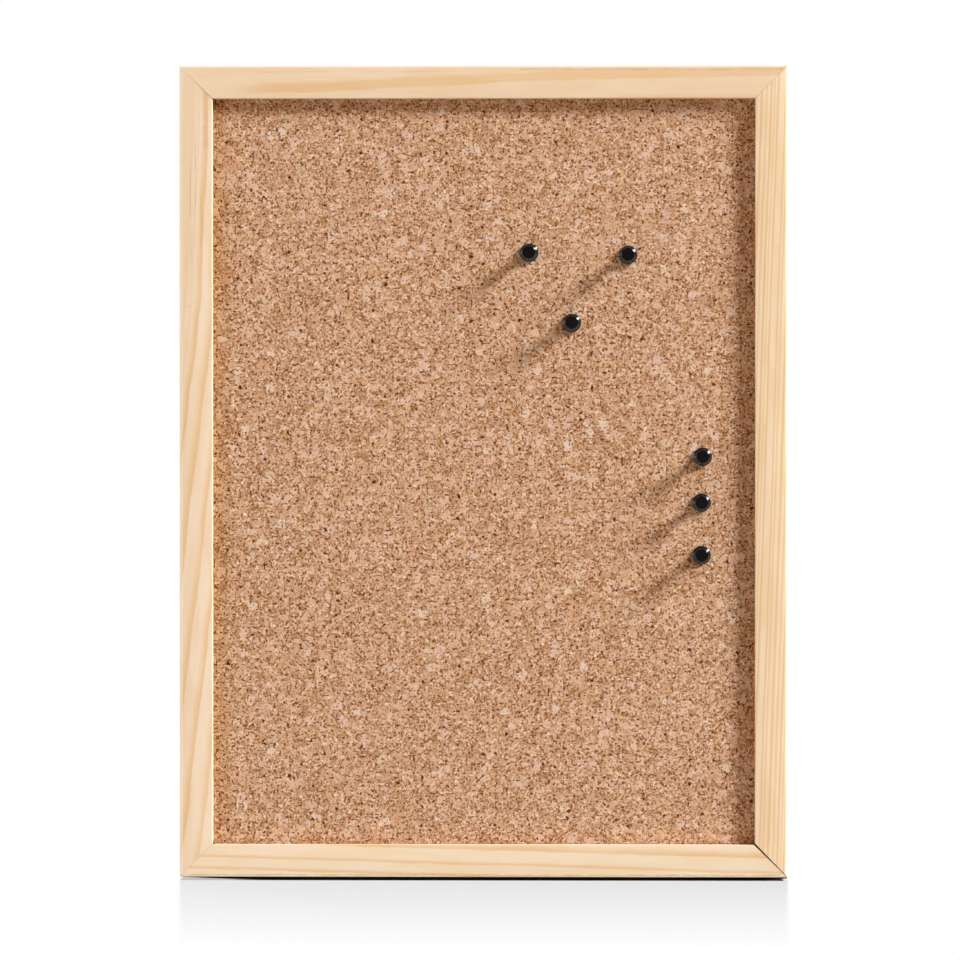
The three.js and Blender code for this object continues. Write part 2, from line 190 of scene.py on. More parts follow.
CAMERA_ELEVATION = math.radians(0.8)
CAMERA_SENSOR = 36.0
CAMERA_REACH = 60.0
PHOTO_WIDTH = 473.2 * MM
LOOK_AT = Vector((-1.7, -9.25, 195.9)) * MM


class Value:
    """A shader socket that takes part in Python sums, which become Math nodes."""

    def __init__(self, shades, socket):
        self.shades = shades
        self.socket = socket

    def sum(self, operation, first, second=0.0):
        return self.shades.add("ShaderNodeMath", {"operation": operation}, {0: first, 1: second})

    def __add__(self, other):
        return self.sum("ADD", self, other)

    def __radd__(self, other):
        return self.sum("ADD", other, self)

    def __sub__(self, other):
        return self.sum("SUBTRACT", self, other)

    def __rsub__(self, other):
        return self.sum("SUBTRACT", other, self)

    def __mul__(self, other):
        return self.sum("MULTIPLY", self, other)

    def __rmul__(self, other):
        return self.sum("MULTIPLY", other, self)

    def __truediv__(self, other):
        return self.sum("DIVIDE", self, other)

    def __rtruediv__(self, other):
        return self.sum("DIVIDE", other, self)

    def __abs__(self):
        return self.sum("ABSOLUTE", self)

    def fraction(self):
        return self.sum("FRACT", self)

    def sine(self):
        return self.sum("SINE", self)

    def at_least(self, other):
        return self.sum("MAXIMUM", self, other)

    def other(self, output):
        """Another output of the node that this value comes from."""
        return Value(self.shades, self.socket.node.outputs[output])


class Shades:
    """Adds nodes to one shader tree and wires them."""

    def __init__(self, tree):
        self.tree = tree

    def add(self, kind, settings=None, sockets=None, output=0):
        """A new node: its settings are made first, then its sockets are fed."""
        node = self.tree.nodes.new(kind)
        for name, setting in (settings or {}).items():
            if name == "stops":
                self.set_stops(node.color_ramp, setting)
            else:
                setattr(node, name, setting)
        self.feed(node, sockets or {})
        return Value(self, node.outputs[output])

    def set_stops(self, ramp, stops):
        while len(ramp.elements) < len(stops):
            ramp.elements.new(1.0)
        for element, (position, shade) in zip(ramp.elements, stops):
            element.position = position
            element.color = shade

    def feed(self, node, sockets):
        for key, value in sockets.items():
            if isinstance(value, Value):
                self.tree.links.new(value.socket, node.inputs[key])
            else:
                node.inputs[key].default_value = value

    def place(self):
        """Where a point lies on its piece, in millimetres, as a vector."""
        metres = self.add("ShaderNodeTexCoord", output="Object")
        return self.scaled(metres, 1 / MM)

    def scaled(self, vector, factor):
        return self.add("ShaderNodeVectorMath", {"operation": "SCALE"}, {0: vector, "Scale": factor})

    def moved(self, vector, other):
        return self.add("ShaderNodeVectorMath", {"operation": "ADD"}, {0: vector, 1: other})

    def parts(self, vector):
        x = self.add("ShaderNodeSeparateXYZ", sockets={0: vector})
        return x, x.other("Y"), x.other("Z")

    def vector(self, x, y, z):
        return self.add("ShaderNodeCombineXYZ", sockets={0: x, 1: y, 2: z})

    def noise(self, vector, size=1.0, detail=2.0, roughness=0.5):
        return self.add(
            "ShaderNodeTexNoise", {"noise_dimensions": "3D"},
            {"Vector": vector, "Scale": 1 / size, "Detail": detail, "Roughness": roughness})

    def cells(self, vector, size, feature="F1"):
        return self.add(
            "ShaderNodeTexVoronoi", {"voronoi_dimensions": "2D", "feature": feature},
            {"Vector": vector, "Scale": 1 / size}, output="Distance")

    def between(self, value, low, high, at_low=0.0, at_high=1.0):
        """A smooth step from one number to another as the value goes from low to high."""
        return self.add(
            "ShaderNodeMapRange", {"interpolation_type": "SMOOTHSTEP"},
            {0: value, 1: low, 2: high, 3: at_low, 4: at_high})

    def ramp(self, value, stops):
        return self.add("ShaderNodeValToRGB", {"stops": stops}, {0: value})

    def grey_ramp(self, value, stops):
        shades = [(position, (level, level, level, 1.0)) for position, level in stops]
        return self.add("ShaderNodeRGBToBW", sockets={0: self.ramp(value, shades)})

    def mix(self, factor, first, second, blend="MIX"):
        return self.add(
            "ShaderNodeMix", {"data_type": "RGBA", "blend_type": blend},
            {0: factor, 6: first, 7: second}, output=2)

    def bump(self, height, distance):
        """A surface whose height, from 0 to 1, stands for a real distance in millimetres."""
        sockets = {"Height": height, "Distance": distance * MM, "Strength": 1.0}
        return self.add("ShaderNodeBump", sockets=sockets)


class Finish(Shades):
    """A material with a Principled surface."""

    def __init__(self, name, **constants):
        self.material = bpy.data.materials.new(name)
        self.material.use_nodes = True
        super().__init__(self.material.node_tree)
        self.surface = self.tree.nodes["Principled BSDF"]
        self.feed(self.surface, {key.replace("_", " "): value for key, value in constants.items()})

    def wear(self, **sockets):
        self.feed(self.surface, {key.replace("_", " "): value for key, value in sockets.items()})
        return self.material


def colour(red, green, blue):
    """A colour as it is read off a screen, from 0 to 255, in Blender's linear numbers."""
    linear = []
    for level in (red, green, blue):
        share = level / 255
        linear.append(share / 12.92 if share <= 0.04045 else ((share + 0.055) / 1.055) ** 2.4)
    return (*linear, 1.0)


# Pine, as it looks in even light.
LATE_WOOD = colour(235, 187, 132)
RESIN_STREAK = colour(208, 160, 106)
# End grain, made much darker than it is to paint the shade inside the mitre gaps.
GRAIN_ENDS_AND_GAP_SHADE = colour(104, 66, 36)

# The marks in pine: their lengths along the fibres and widths across, and fibres to a millimetre.
RIPPLE_LENGTH = 13
RIPPLE_WIDTH = 4
MOTTLE_LENGTH = 38
MOTTLE_WIDTH = 7
HAIR_LENGTH = 9
HAIR_WIDTH = 0.5
FIBRES_ALONG = 0.045
FIBRES_ACROSS = 2.4

# Pressed cork, as it looks in even light, from its dark crumbs to its pale ones.
CORK_TONES = [
    (0.0, colour(138, 82, 42)), (0.25, colour(183, 132, 94)), (0.5, colour(211, 162, 125)),
    (0.75, colour(232, 185, 149)), (1.0, colour(255, 222, 194))]
ROSY_GRANULE = colour(224, 174, 150)
STRAW_GRANULE = colour(214, 166, 114)
PALE_FLAKE = colour(230, 194, 163)
ROSY_FLAKE = colour(233, 194, 171)
TOASTED_FLAKE = colour(216, 156, 116)
BRIGHT_FLAKE = colour(238, 209, 184)
CRACK_STAIN = colour(190, 130, 70)
CRACK_DARK = colour(104, 40, 0)
PIT_DARK = colour(82, 34, 0)
CORK_TINT = (0.97, 0.955, 0.95, 1.0)
# Painted shade: multipliers that darken and warm the cork along the left stile, and darken it along the
# bottom rail.
PAINTED_EDGE_SHADE = (0.74, 0.68, 0.54, 1.0)
SHADED_FOOT = (0.82, 0.84, 0.88, 1.0)

# Sizes in the pressed cork, how far its shapes are bent out of true, and the widths of the shade painted
# along its edges.
SWIRL_SIZE = 1.6
DUST_SIZE = 1.1
CRACK_PATCH = 1.3
CRUMB_PATCH = 1.0
GRANULE_SIZE = 3.0
GRANULE_BEND = 2.0
CRUMB_SIZE = 1.45
FLAKE_SIZE = 4.0
FLAKE_BEND = 0.9
PIT_SPACING = 6.0
SMALL_PIT_SPACING = 2.6
PIT_BEND = 3.2
PAINTED_EDGE_SHADE_WIDTH = 14.0
SHADED_WIDTH = 5.0


class LateWood(NamedTuple):
    """A tan band of late wood: where it begins, is full, stops being full and is gone, and how dark."""

    begins: float
    full_from: float
    full_to: float
    gone: float
    strength: float


class Streak(NamedTuple):
    """A dark mark along the fibres: its ends, its distance in from the outer side, and how dark."""

    start: float
    stop: float
    across: float
    half_width: float
    fade: float
    strength: float


class Sawn(NamedTuple):
    """How a length of pine lay in the log, in millimetres of its own face."""

    drift: float
    bend_at: float
    bend: float
    lean: float
    waver: float
    waver_length: float
    ripple: float
    first: float
    period: float
    bands: tuple
    streaks: tuple
    comes_in: tuple
    # Light and shade painted on the rounded outer edge: how strongly, and in what colour.
    painted_lighting_share: float
    painted_lighting_tone: tuple
    pale: tuple
    deep: tuple
    seed: float


def band_stops(sawn):
    """The late wood bands as stops of a ramp over one period."""
    stops = [(0.0, 0.0)]
    for band in sorted(sawn.bands):
        edges = [(band.begins, 0.0), (band.full_from, band.strength),
                 (band.full_to, band.strength), (band.gone, 0.0)]
        for place, level in edges:
            share = (place - sawn.first) / sawn.period
            stops.append((max(share, stops[-1][0] + 0.001), level))
    return stops


def pine_finish(side, front):
    """Bare pine: pale early wood, tan late wood as it lies on this length, fibres and streaks."""
    sawn = side.sawn
    pine = Finish(f"pine_{side.node}", IOR=1.45)
    x, y, z = pine.parts(pine.place())
    upright = side.along[0] == 0
    along = z if upright else x
    inward = side.inward[0] + side.inward[1]
    outer = side.middle[0] if upright else side.middle[1]
    across = ((x if upright else z) - outer) * inward
    depth = y - front
    wander = pine.noise(pine.vector(along / sawn.waver_length, sawn.seed, 0.0), detail=1.0) - 0.5
    ripple_place = pine.vector(along / RIPPLE_LENGTH, across / RIPPLE_WIDTH, sawn.seed + 3.0)
    ripple = pine.noise(ripple_place, detail=2.0) - 0.5
    moved = across + along * sawn.drift + depth * sawn.lean
    moved = moved + wander * (4 * sawn.waver) + ripple * sawn.ripple
    if sawn.bend:
        moved = moved + (along - sawn.bend_at).at_least(0.0) * sawn.bend
    late = pine.grey_ramp(((moved - sawn.first) / sawn.period).fraction(), band_stops(sawn))
    mottle_place = pine.vector(
        along / MOTTLE_LENGTH, across / MOTTLE_WIDTH, depth / MOTTLE_WIDTH + sawn.seed)
    mottle = pine.noise(mottle_place, detail=2.0)
    late = late * (mottle * 0.9 + 0.55) * pine.between(along, *sawn.comes_in)
    fibre_place = pine.vector(
        along * FIBRES_ALONG, across * FIBRES_ACROSS + sawn.seed, depth * FIBRES_ACROSS)
    fibre = pine.noise(fibre_place, detail=3.0, roughness=0.6)
    early = pine.mix(pine.between(mottle, 0.35, 0.65), sawn.pale, sawn.deep)
    wood = pine.mix(late, early, LATE_WOOD)
    hair_place = pine.vector(
        along / HAIR_LENGTH, across / HAIR_WIDTH + sawn.seed * 5, depth / HAIR_WIDTH)
    hair = pine.between(pine.noise(hair_place, detail=1.0), 0.66, 0.8)
    wood = pine.mix(hair * 0.3, wood, RESIN_STREAK)
    for streak in sawn.streaks:
        beside = abs(across + ripple * 1.2 - streak.across)
        mark = pine.between(beside, streak.half_width, 0.0)
        mark = mark * pine.between(along, streak.start - streak.fade, streak.start + streak.fade)
        mark = mark * pine.between(along, streak.stop + streak.fade, streak.stop - streak.fade)
        broken = pine.noise(pine.vector(along / streak.fade, streak.across, sawn.seed), detail=2.0)
        mark = mark * pine.between(broken, 0.35, 0.6, 0.15, 1.0)
        wood = pine.mix(mark * streak.strength, wood, RESIN_STREAK)
    # Painted light and shade on the rounded outer edge: paler where it lies in shade, duller where the key
    # lamp lights it too brightly.
    wood = pine.mix(pine.between(across, 2.2, 0.4) * sawn.painted_lighting_share, wood, sawn.painted_lighting_tone)
    # End grain on the mitre faces, with painted shade that darkens them inside the gaps.
    from_end = side.length / 2 - abs(along - (side.middle[1] if upright else side.middle[0]))
    grain_ends_and_gap_shade = pine.between(from_end - across, 1.3, 0.9) * pine.between(depth, 0.25, 0.8)
    grain_ends_and_gap_shade = grain_ends_and_gap_shade * pine.between(across, 1.5, 3.5) * pine.between(depth, 12.0, 9.0)
    wood = pine.mix(grain_ends_and_gap_shade, wood, GRAIN_ENDS_AND_GAP_SHADE)
    wood = pine.scaled(wood, fibre * 0.09 + 0.955)
    return pine.wear(
        Base_Color=wood,
        Roughness=0.6 - late * 0.08 + fibre * 0.08,
        Normal=pine.bump(fibre * 0.7 - late * 0.3, 0.025))


def cork_finish():
    """Pressed cork: whole granules among crumbled ones, dark cracks between them, pits and pale flakes."""
    cork = Finish("pressed_cork", IOR=1.4, Specular_IOR_Level=0.0)
    x, _, z = cork.parts(cork.place())
    flat = cork.vector(x, z, 0.0)
    swirl = cork.noise(flat, SWIRL_SIZE, detail=2.0).other("Color")
    push = cork.moved(swirl, (-0.5, -0.5, -0.5))
    bent = cork.moved(flat, cork.scaled(push, GRANULE_BEND))
    granule_tone, granule_hue, granule_kind = cork.parts(cork.cells(bent, GRANULE_SIZE).other("Color"))
    granule_rim = cork.cells(bent, GRANULE_SIZE, "DISTANCE_TO_EDGE")
    crumb_tone = cork.parts(cork.cells(bent, CRUMB_SIZE).other("Color"))[0]
    crumb_rim = cork.cells(bent, CRUMB_SIZE, "DISTANCE_TO_EDGE")
    flake_bent = cork.moved(flat, cork.scaled(push, FLAKE_BEND))
    flake_tone, flake_hue, flake_kind = cork.parts(cork.cells(flake_bent, FLAKE_SIZE).other("Color"))
    flake_rim = cork.cells(flake_bent, FLAKE_SIZE, "DISTANCE_TO_EDGE")
    flake = cork.between(flake_kind, 0.915, 0.93) * cork.between(flake_rim, 0.05, 0.11)
    bright = cork.between(flake_kind, 0.984, 0.988)
    dust = cork.noise(flat, DUST_SIZE, detail=1.0)
    crumbled = cork.between(granule_kind, 0.12, 0.32) * (1 - flake)
    level = 0.592 + (granule_tone - 0.5) * 0.2 + (crumb_tone - 0.5) * (crumbled * 0.5 + 0.15)
    level = level + (dust - 0.5) * (crumbled * 0.75 + 1.1)
    body = cork.ramp(level, CORK_TONES)
    body = cork.mix(cork.between(granule_hue, 0.6, 1.0) * 0.3, body, ROSY_GRANULE)
    body = cork.mix(cork.between(granule_hue, 0.4, 0.0) * 0.25, body, STRAW_GRANULE)
    flake_colour = cork.mix(cork.between(flake_hue, 0.3, 0.7), PALE_FLAKE, ROSY_FLAKE)
    flake_colour = cork.mix(cork.between(flake_tone, 0.14, 0.1), flake_colour, TOASTED_FLAKE)
    flake_colour = cork.mix(bright * 0.55, flake_colour, BRIGHT_FLAKE)
    body = cork.mix(flake * (bright * 0.2 + 0.62), body, flake_colour)
    open_here = cork.between(cork.noise(flat, CRACK_PATCH, detail=1.0), 0.55, 0.63)
    wide_crack = cork.between(granule_rim, 0.21, 0.11) * open_here
    fine_crack = cork.between(crumb_rim, 0.4, 0.2) * crumbled
    fine_crack = fine_crack * cork.between(cork.noise(bent, CRUMB_PATCH, detail=1.0), 0.58, 0.645)
    crack = wide_crack.at_least(fine_crack)
    stain = cork.between(granule_rim, 0.45, 0.1) * open_here
    stain = stain.at_least(cork.between(crumb_rim, 0.7, 0.2) * crumbled * 0.6)
    body = cork.mix(stain * 0.42, body, CRACK_STAIN)
    body = cork.mix(crack * 0.9, body, CRACK_DARK)
    pit_bent = cork.moved(flat, cork.scaled(push, PIT_BEND))
    pit = cork.cells(pit_bent, PIT_SPACING)
    pit_reach = cork.parts(pit.other("Color"))[0] * 0.22 - 0.115
    small_pit = cork.cells(pit_bent, SMALL_PIT_SPACING)
    small_reach = cork.parts(small_pit.other("Color"))[0] * 0.5 - 0.41
    speck = cork.between(pit - pit_reach, 0.05, 0.0)
    speck = speck.at_least(cork.between(small_pit - small_reach, 0.06, 0.0) * 0.9) * (1 - flake)
    body = cork.mix(speck * 0.94, body, PIT_DARK)
    body = cork.mix(1.0, body, CORK_TINT, "MULTIPLY")
    # Painted shade: the cork turns darker and browner towards the left stile, and darker towards the
    # bottom rail.
    left_edge = millimetre_box("left_stile")[1].x
    painted_edge_shade = cork.between(x, left_edge + PAINTED_EDGE_SHADE_WIDTH, left_edge)
    body = cork.mix(painted_edge_shade, body, PAINTED_EDGE_SHADE, "MULTIPLY")
    foot = millimetre_box("bottom_rail")[1].z
    body = cork.mix(cork.between(z, foot + SHADED_WIDTH, foot), body, SHADED_FOOT, "MULTIPLY")
    height = dust * 0.5 + crumb_tone * 0.2 + 0.3 - crack * 0.4 - speck * 0.5
    return cork.wear(
        Base_Color=body,
        Roughness=0.9 - flake * 0.1,
        Normal=cork.bump(height, 0.05))


def softboard_finish():
    """Pressed wood fibre, brown and woolly."""
    board = Finish("soft_fibre_board")
    place = board.place()
    wool = board.noise(place, 1.2, detail=4.0, roughness=0.7)
    lump = board.noise(place, 9.0, detail=2.0)
    fibre = board.mix(wool, colour(134, 104, 72), colour(182, 152, 112))
    fibre = board.scaled(fibre, lump * 0.3 + 0.85)
    return board.wear(
        Base_Color=fibre, Roughness=0.88 + wool * 0.1, Normal=board.bump(wool, 0.25))


def hardboard_finish():
    """The screen side of brown hardboard, with the mesh's print and loose dark fibres."""
    board = Finish("screen_back_hardboard")
    x, y, z = board.parts(board.place())
    pitch = 1.6
    slant = 0.7071
    wobble = board.noise(board.vector(x, y, z), 7.0, detail=1.0) * 0.9
    weft = (((x + z) * slant + wobble) * (2 * math.pi / pitch)).sine()
    warp = (((x - z) * slant + wobble) * (2 * math.pi / pitch)).sine()
    print_height = weft.at_least(warp) * 0.5 + 0.5
    fibre_place = board.vector(x / 0.35, y, z / 1.4)
    fibre = board.noise(fibre_place, detail=4.0, roughness=0.65)
    cloud = board.noise(board.vector(x, y, z), 34.0, detail=5.0, roughness=0.7)
    brown = board.mix(board.between(cloud, 0.2, 0.8), colour(118, 83, 54), colour(128, 92, 61))
    brown = board.mix(board.between(fibre, 0.6, 0.72) * 0.55, brown, colour(72, 47, 30))
    fleck = board.noise(board.vector(x / 0.9, y, z / 2.6), detail=2.0)
    brown = board.mix(board.between(fleck, 0.62, 0.7) * 0.4, brown, colour(92, 60, 36))
    brown = board.mix(board.between(fleck, 0.38, 0.3) * 0.4, brown, colour(152, 114, 78))
    brown = board.scaled(brown, print_height * 0.26 + 0.84)
    return board.wear(
        Base_Color=brown,
        Roughness=0.72 - print_height * 0.12 + fibre * 0.1,
        Normal=board.bump(print_height * 0.8 + fibre * 0.2, 0.16))


def pin_plastic_finish():
    """Glossy black plastic with a faint moulded unevenness and a little dust."""
    plastic = Finish("gloss_black_plastic", IOR=1.5, Coat_Weight=0.5, Coat_Roughness=0.07)
    place = plastic.place()
    swirl = plastic.noise(place, 2.6, detail=2.0)
    dust = plastic.between(plastic.noise(place, 0.22, detail=1.0), 0.7, 0.8)
    black = plastic.mix(swirl, (0.0028, 0.0025, 0.0025, 1.0), (0.0055, 0.005, 0.005, 1.0))
    black = plastic.mix(dust * 0.1, black, colour(96, 92, 88))
    return plastic.wear(
        Base_Color=black,
        Roughness=0.1 + swirl * 0.08 + dust * 0.25,
        Normal=plastic.bump(swirl, 0.012))


def steel_finish(name, dull, bright, rough, length_axis):
    """Drawn or plated steel: fine drawing marks along one axis and cloudy plating."""
    steel = Finish(name, Metallic=1.0)
    x, y, z = steel.parts(steel.place())
    stretch = {"X": (0.1, 3.5, 3.5), "Y": (3.5, 0.1, 3.5), "Z": (3.5, 3.5, 0.1)}[length_axis]
    lines = steel.noise(steel.vector(x * stretch[0], y * stretch[1], z * stretch[2]), detail=3.0)
    cloud = steel.noise(steel.vector(x, y, z), 2.2, detail=3.0)
    speck = steel.between(steel.noise(steel.vector(x, y, z), 0.35, detail=1.0), 0.66, 0.76)
    metal = steel.mix(cloud, dull, bright)
    metal = steel.mix(speck * 0.3, metal, colour(120, 116, 108))
    return steel.wear(
        Base_Color=metal,
        Roughness=rough + cloud * 0.1 + lines * 0.08 + speck * 0.15,
        Normal=steel.bump(lines, 0.008))


def make_piece(name, points, faces, material, smooth_angle):
    """A mesh piece from points in millimetres, smooth except at edges sharper than the angle."""
    mesh = bpy.data.meshes.new(name)
    mesh.from_pydata(np.asarray(points) * MM, [], faces)
    return dress_mesh(name, mesh, material, smooth_angle)


def dress_mesh(name, mesh, material, smooth_angle):
    """A piece of a mesh in its material, smooth except at edges sharper than the angle."""
    mesh.shade_smooth()
    mesh.set_sharp_from_angle(angle=math.radians(smooth_angle))
    mesh.materials.append(material)
    piece = bpy.data.objects.new(name, mesh)
    bpy.context.scene.collection.objects.link(piece)
    return piece


def upright_piece(name, points, faces, finish, smooth_angle=40.0):
    """A piece whose faces are all turned outwards."""
    piece = make_piece(name, points, faces, finish, smooth_angle)
    work = bmesh.new()
    work.from_mesh(piece.data)
    bmesh.ops.recalc_face_normals(work, faces=work.faces)
    work.to_mesh(piece.data)
    work.free()
    return piece


def fasten(piece, node, body):
    """The piece stands for a CAD node, which it hides, and moves with its body."""
    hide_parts(node)
    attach(piece, body)


def settle(piece):
    """Turns a piece's modifiers into its own mesh."""
    graph = bpy.context.evaluated_depsgraph_get()
    settled = bpy.data.meshes.new_from_object(piece.evaluated_get(graph))
    piece.modifiers.clear()
    piece.data = settled


def cut(piece, cutters):
    """Cuts closed pieces out of a piece and throws them away."""
    for cutter in cutters:
        knife = piece.modifiers.new("cut", "BOOLEAN")
        knife.object = cutter
        knife.solver = "EXACT"
    settle(piece)
    work = bmesh.new()
    work.from_mesh(piece.data)
    bmesh.ops.remove_doubles(work, verts=work.verts, dist=SLIVER * MM)
    bmesh.ops.dissolve_degenerate(work, edges=work.edges, dist=SLIVER * MM)
    work.to_mesh(piece.data)
    work.free()
    for cutter in cutters:
        bpy.data.objects.remove(cutter)


def ease_edges(piece):
    """Breaks a piece's sharp edges with a small round."""
    bevel = piece.modifiers.new("eased_edges", "BEVEL")
    bevel.width = EASED_EDGE * MM
    bevel.segments = EASED_STEPS
    bevel.limit_method = "ANGLE"
    bevel.angle_limit = math.radians(EASED_ANGLE)
    bevel.harden_normals = True


def arc(centre, radius, start, stop, steps):
    """Points of an arc in a plane, from one angle to another."""
    points = []
    for step in range(steps + 1):
        angle = start + (stop - start) * step / steps
        points.append((centre[0] + radius * math.cos(angle), centre[1] + radius * math.sin(angle)))
    return points


def loft(rings, closed=False):
    """Faces over rings of equally many points, with end caps unless the last ring meets the first."""
    sides = len(rings[0])
    points = [point for ring in rings for point in ring]
    faces = []
    spans = len(rings) if closed else len(rings) - 1
    for span in range(spans):
        here = span * sides
        there = (span + 1) % len(rings) * sides
        for side in range(sides):
            beside = (side + 1) % sides
            faces.append((here + side, here + beside, there + beside, there + side))
    if not closed:
        faces.append(tuple(reversed(range(sides))))
        faces.append(tuple(range(len(points) - sides, len(points))))
    return points, faces


def ring_at(centre_x, centre_z, y, radius, sides):
    """Points of a ring round an axis along Y."""
    points = []
    for side in range(sides):
        angle = 2 * math.pi * side / sides
        points.append((centre_x + radius * math.cos(angle), y, centre_z + radius * math.sin(angle)))
    return points


def turned(profile, sides):
    """Points and faces of a profile of radius and height, turned about the height axis."""
    return loft([ring_at(0.0, 0.0, height, radius, sides) for radius, height in profile])


def shifted(points, place):
    return [Vector(point) + place for point in points]


def millimetre_box(node):
    """A CAD node's low and high corner, in millimetres."""
    low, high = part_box(node)
    return low / MM, high / MM


class Mitre(NamedTuple):
    """How wide a joint gapes at the outer and inner corner, and how late it swells between them."""

    outer: float
    inner: float
    swell: float


class Side(NamedTuple):
    """One side of the frame: where it lies, how it was sawn and how open its mitres are."""

    node: str
    middle: tuple
    along: tuple
    inward: tuple
    length: float
    width: float
    outer_round: float
    inner_round: float
    start_gaps: Mitre
    end_gaps: Mitre
    sawn: Sawn


def rail_section(front, back, side):
    """The moulding's outline: distance in from the outer side, and the board's Y."""
    width = side.width
    web = RAIL_WIDTH - GROOVE_DEPTH
    inner = side.inner_round
    inner_back = INNER_BACK_ROUND
    outer_back = OUTER_BACK_ROUND
    outer = side.outer_round
    section = arc((width - inner, front + inner), inner, -QUARTER, 0, ROUND_STEPS)
    section += [(width, front + FRONT_LIP), (web, front + FRONT_LIP)]
    section += [(web, back - BACK_LIP), (width, back - BACK_LIP)]
    section += arc((width - inner_back, back - inner_back), inner_back, 0, QUARTER, ROUND_STEPS)
    section += arc((outer_back, back - outer_back), outer_back, QUARTER, math.pi, ROUND_STEPS)
    section += arc((outer, front + outer), outer, math.pi, 3 * QUARTER, ROUND_STEPS)
    return section


def mitre_cut(gaps, inset, width, depth):
    """How far in a mitre is cut; the nails pull its gap shut towards the back."""
    gap = gaps.outer + (gaps.inner - gaps.outer) * (inset / width) ** gaps.swell
    return inset + gap * (1 - MITRE_PULL * depth) / math.sqrt(2)


def on_side(side, along, inset, y):
    """A point of a side, from its place along it, its distance in from the outer side and its Y."""
    x = side.middle[0] + side.along[0] * along + side.inward[0] * inset
    z = side.middle[1] + side.along[1] * along + side.inward[1] * inset
    return x, y, z


def nail_slot(side, back, at_end):
    """A closed cutter round one V-nail leg and bend, a little looser than the nail."""
    half = NAIL_THICKNESS / 2 + NAIL_PINCH
    reach = NAIL_LEG + NAIL_PINCH
    corner = side.length / 2 - NAIL_INSET
    way = 1 if at_end else -1
    outline = [
        (half, -half), (-reach, -half), (-reach, half), (-half, half), (-half, reach), (half, reach)]
    rings = []
    for y in (back - NAIL_SLOT_DEPTH, back + CUT_OVER):
        ring = [on_side(side, way * (corner + along), NAIL_INSET + inset, y) for along, inset in outline]
        rings.append(ring)
    points, faces = loft(rings)
    return upright_piece("nail_slot", points, faces, None)


def make_rail(side):
    """One side of the frame, sawn at its mitres, slotted for the nails and eased."""
    low, high = millimetre_box(side.node)
    front, back = low.y, high.y
    section = rail_section(front, back, side)
    rings = []
    for station in range(RAIL_STATIONS + 1):
        share = station / RAIL_STATIONS
        ring = []
        for inset, y in section:
            depth = (y - front) / (back - front)
            start = mitre_cut(side.start_gaps, inset, side.width, depth) - side.length / 2
            end = side.length / 2 - mitre_cut(side.end_gaps, inset, side.width, depth)
            ring.append(on_side(side, start + (end - start) * share, inset, y))
        rings.append(ring)
    points, faces = loft(rings)
    rail = upright_piece(f"sawn_{side.node}", points, faces, pine_finish(side, front), 35.0)
    cut(rail, [nail_slot(side, back, True), nail_slot(side, back, False)])
    ease_edges(rail)
    fasten(rail, side.node, "board")


# The four lengths of pine: how each lay in the log, read off its face, and the light and shade painted on
# each rounded outer edge.
FLAMED = Sawn(
    drift=-0.122, bend_at=285.0, bend=0.088, lean=0.5, waver=0.9, waver_length=55.0, ripple=1.5,
    first=-42.0, period=60.0, painted_lighting_share=0.6, painted_lighting_tone=colour(252, 230, 204),
    comes_in=(-2000.0, -1000.0), seed=11.0,
    pale=colour(246, 214, 181), deep=colour(243, 207, 169),
    bands=(
        LateWood(-33.3, -31.4, -31.2, -30.6, 0.3), LateWood(-30.2, -28.4, -28.2, -27.7, 0.3),
        LateWood(-27.4, -24.6, -24.2, -23.5, 0.95), LateWood(-21.0, -17.5, -17.1, -16.5, 0.85),
        LateWood(-12.2, -9.2, -8.8, -8.2, 0.85), LateWood(-3.8, -0.9, -0.5, 0.1, 0.9),
        LateWood(5.1, 7.7, 8.1, 8.7, 0.75)),
    streaks=(
        Streak(300.0, 352.0, 5.5, 0.4, 10.0, 0.55), Streak(318.0, 366.0, 7.9, 0.4, 10.0, 0.7),
        Streak(305.0, 345.0, 10.8, 0.5, 12.0, 0.6), Streak(358.0, 386.0, 12.8, 2.2, 7.0, 0.5),
        Streak(281.0, 281.8, 4.4, 0.5, 0.3, 0.9), Streak(282.4, 283.0, 5.3, 0.4, 0.3, 0.7)))
STRAIGHT = Sawn(
    drift=0.034, bend_at=0.0, bend=0.0, lean=0.25, waver=0.3, waver_length=110.0, ripple=0.5,
    first=0.0, period=16.0, painted_lighting_share=0.65, painted_lighting_tone=colour(210, 186, 162),
    comes_in=(-2000.0, -1000.0), seed=4.0,
    pale=colour(248, 213, 174), deep=colour(243, 204, 161),
    bands=(
        LateWood(1.4, 2.1, 2.4, 2.8, 0.95), LateWood(3.3, 3.9, 4.1, 4.4, 0.65),
        LateWood(4.8, 5.5, 5.8, 6.2, 1.0), LateWood(7.0, 7.8, 8.0, 8.5, 0.8),
        LateWood(9.2, 10.2, 10.5, 11.0, 1.0), LateWood(12.0, 12.8, 13.0, 13.4, 0.75),
        LateWood(13.8, 14.4, 14.6, 15.1, 0.9)),
    streaks=())
BANDED = Sawn(
    drift=0.045, bend_at=40.0, bend=-0.025, lean=0.5, waver=0.8, waver_length=48.0, ripple=1.5,
    first=-9.0, period=34.0, painted_lighting_share=0.5, painted_lighting_tone=colour(208, 186, 166),
    comes_in=(-130.0, -102.0), seed=23.0,
    pale=colour(243, 208, 171), deep=colour(241, 203, 162),
    bands=(LateWood(3.2, 5.2, 8.4, 9.4, 0.75), LateWood(17.0, 19.0, 21.0, 22.0, 0.6)),
    streaks=(
        Streak(12.0, 150.0, 1.9, 0.8, 8.0, 0.55), Streak(-118.0, -20.0, 2.9, 0.6, 20.0, 0.3)))
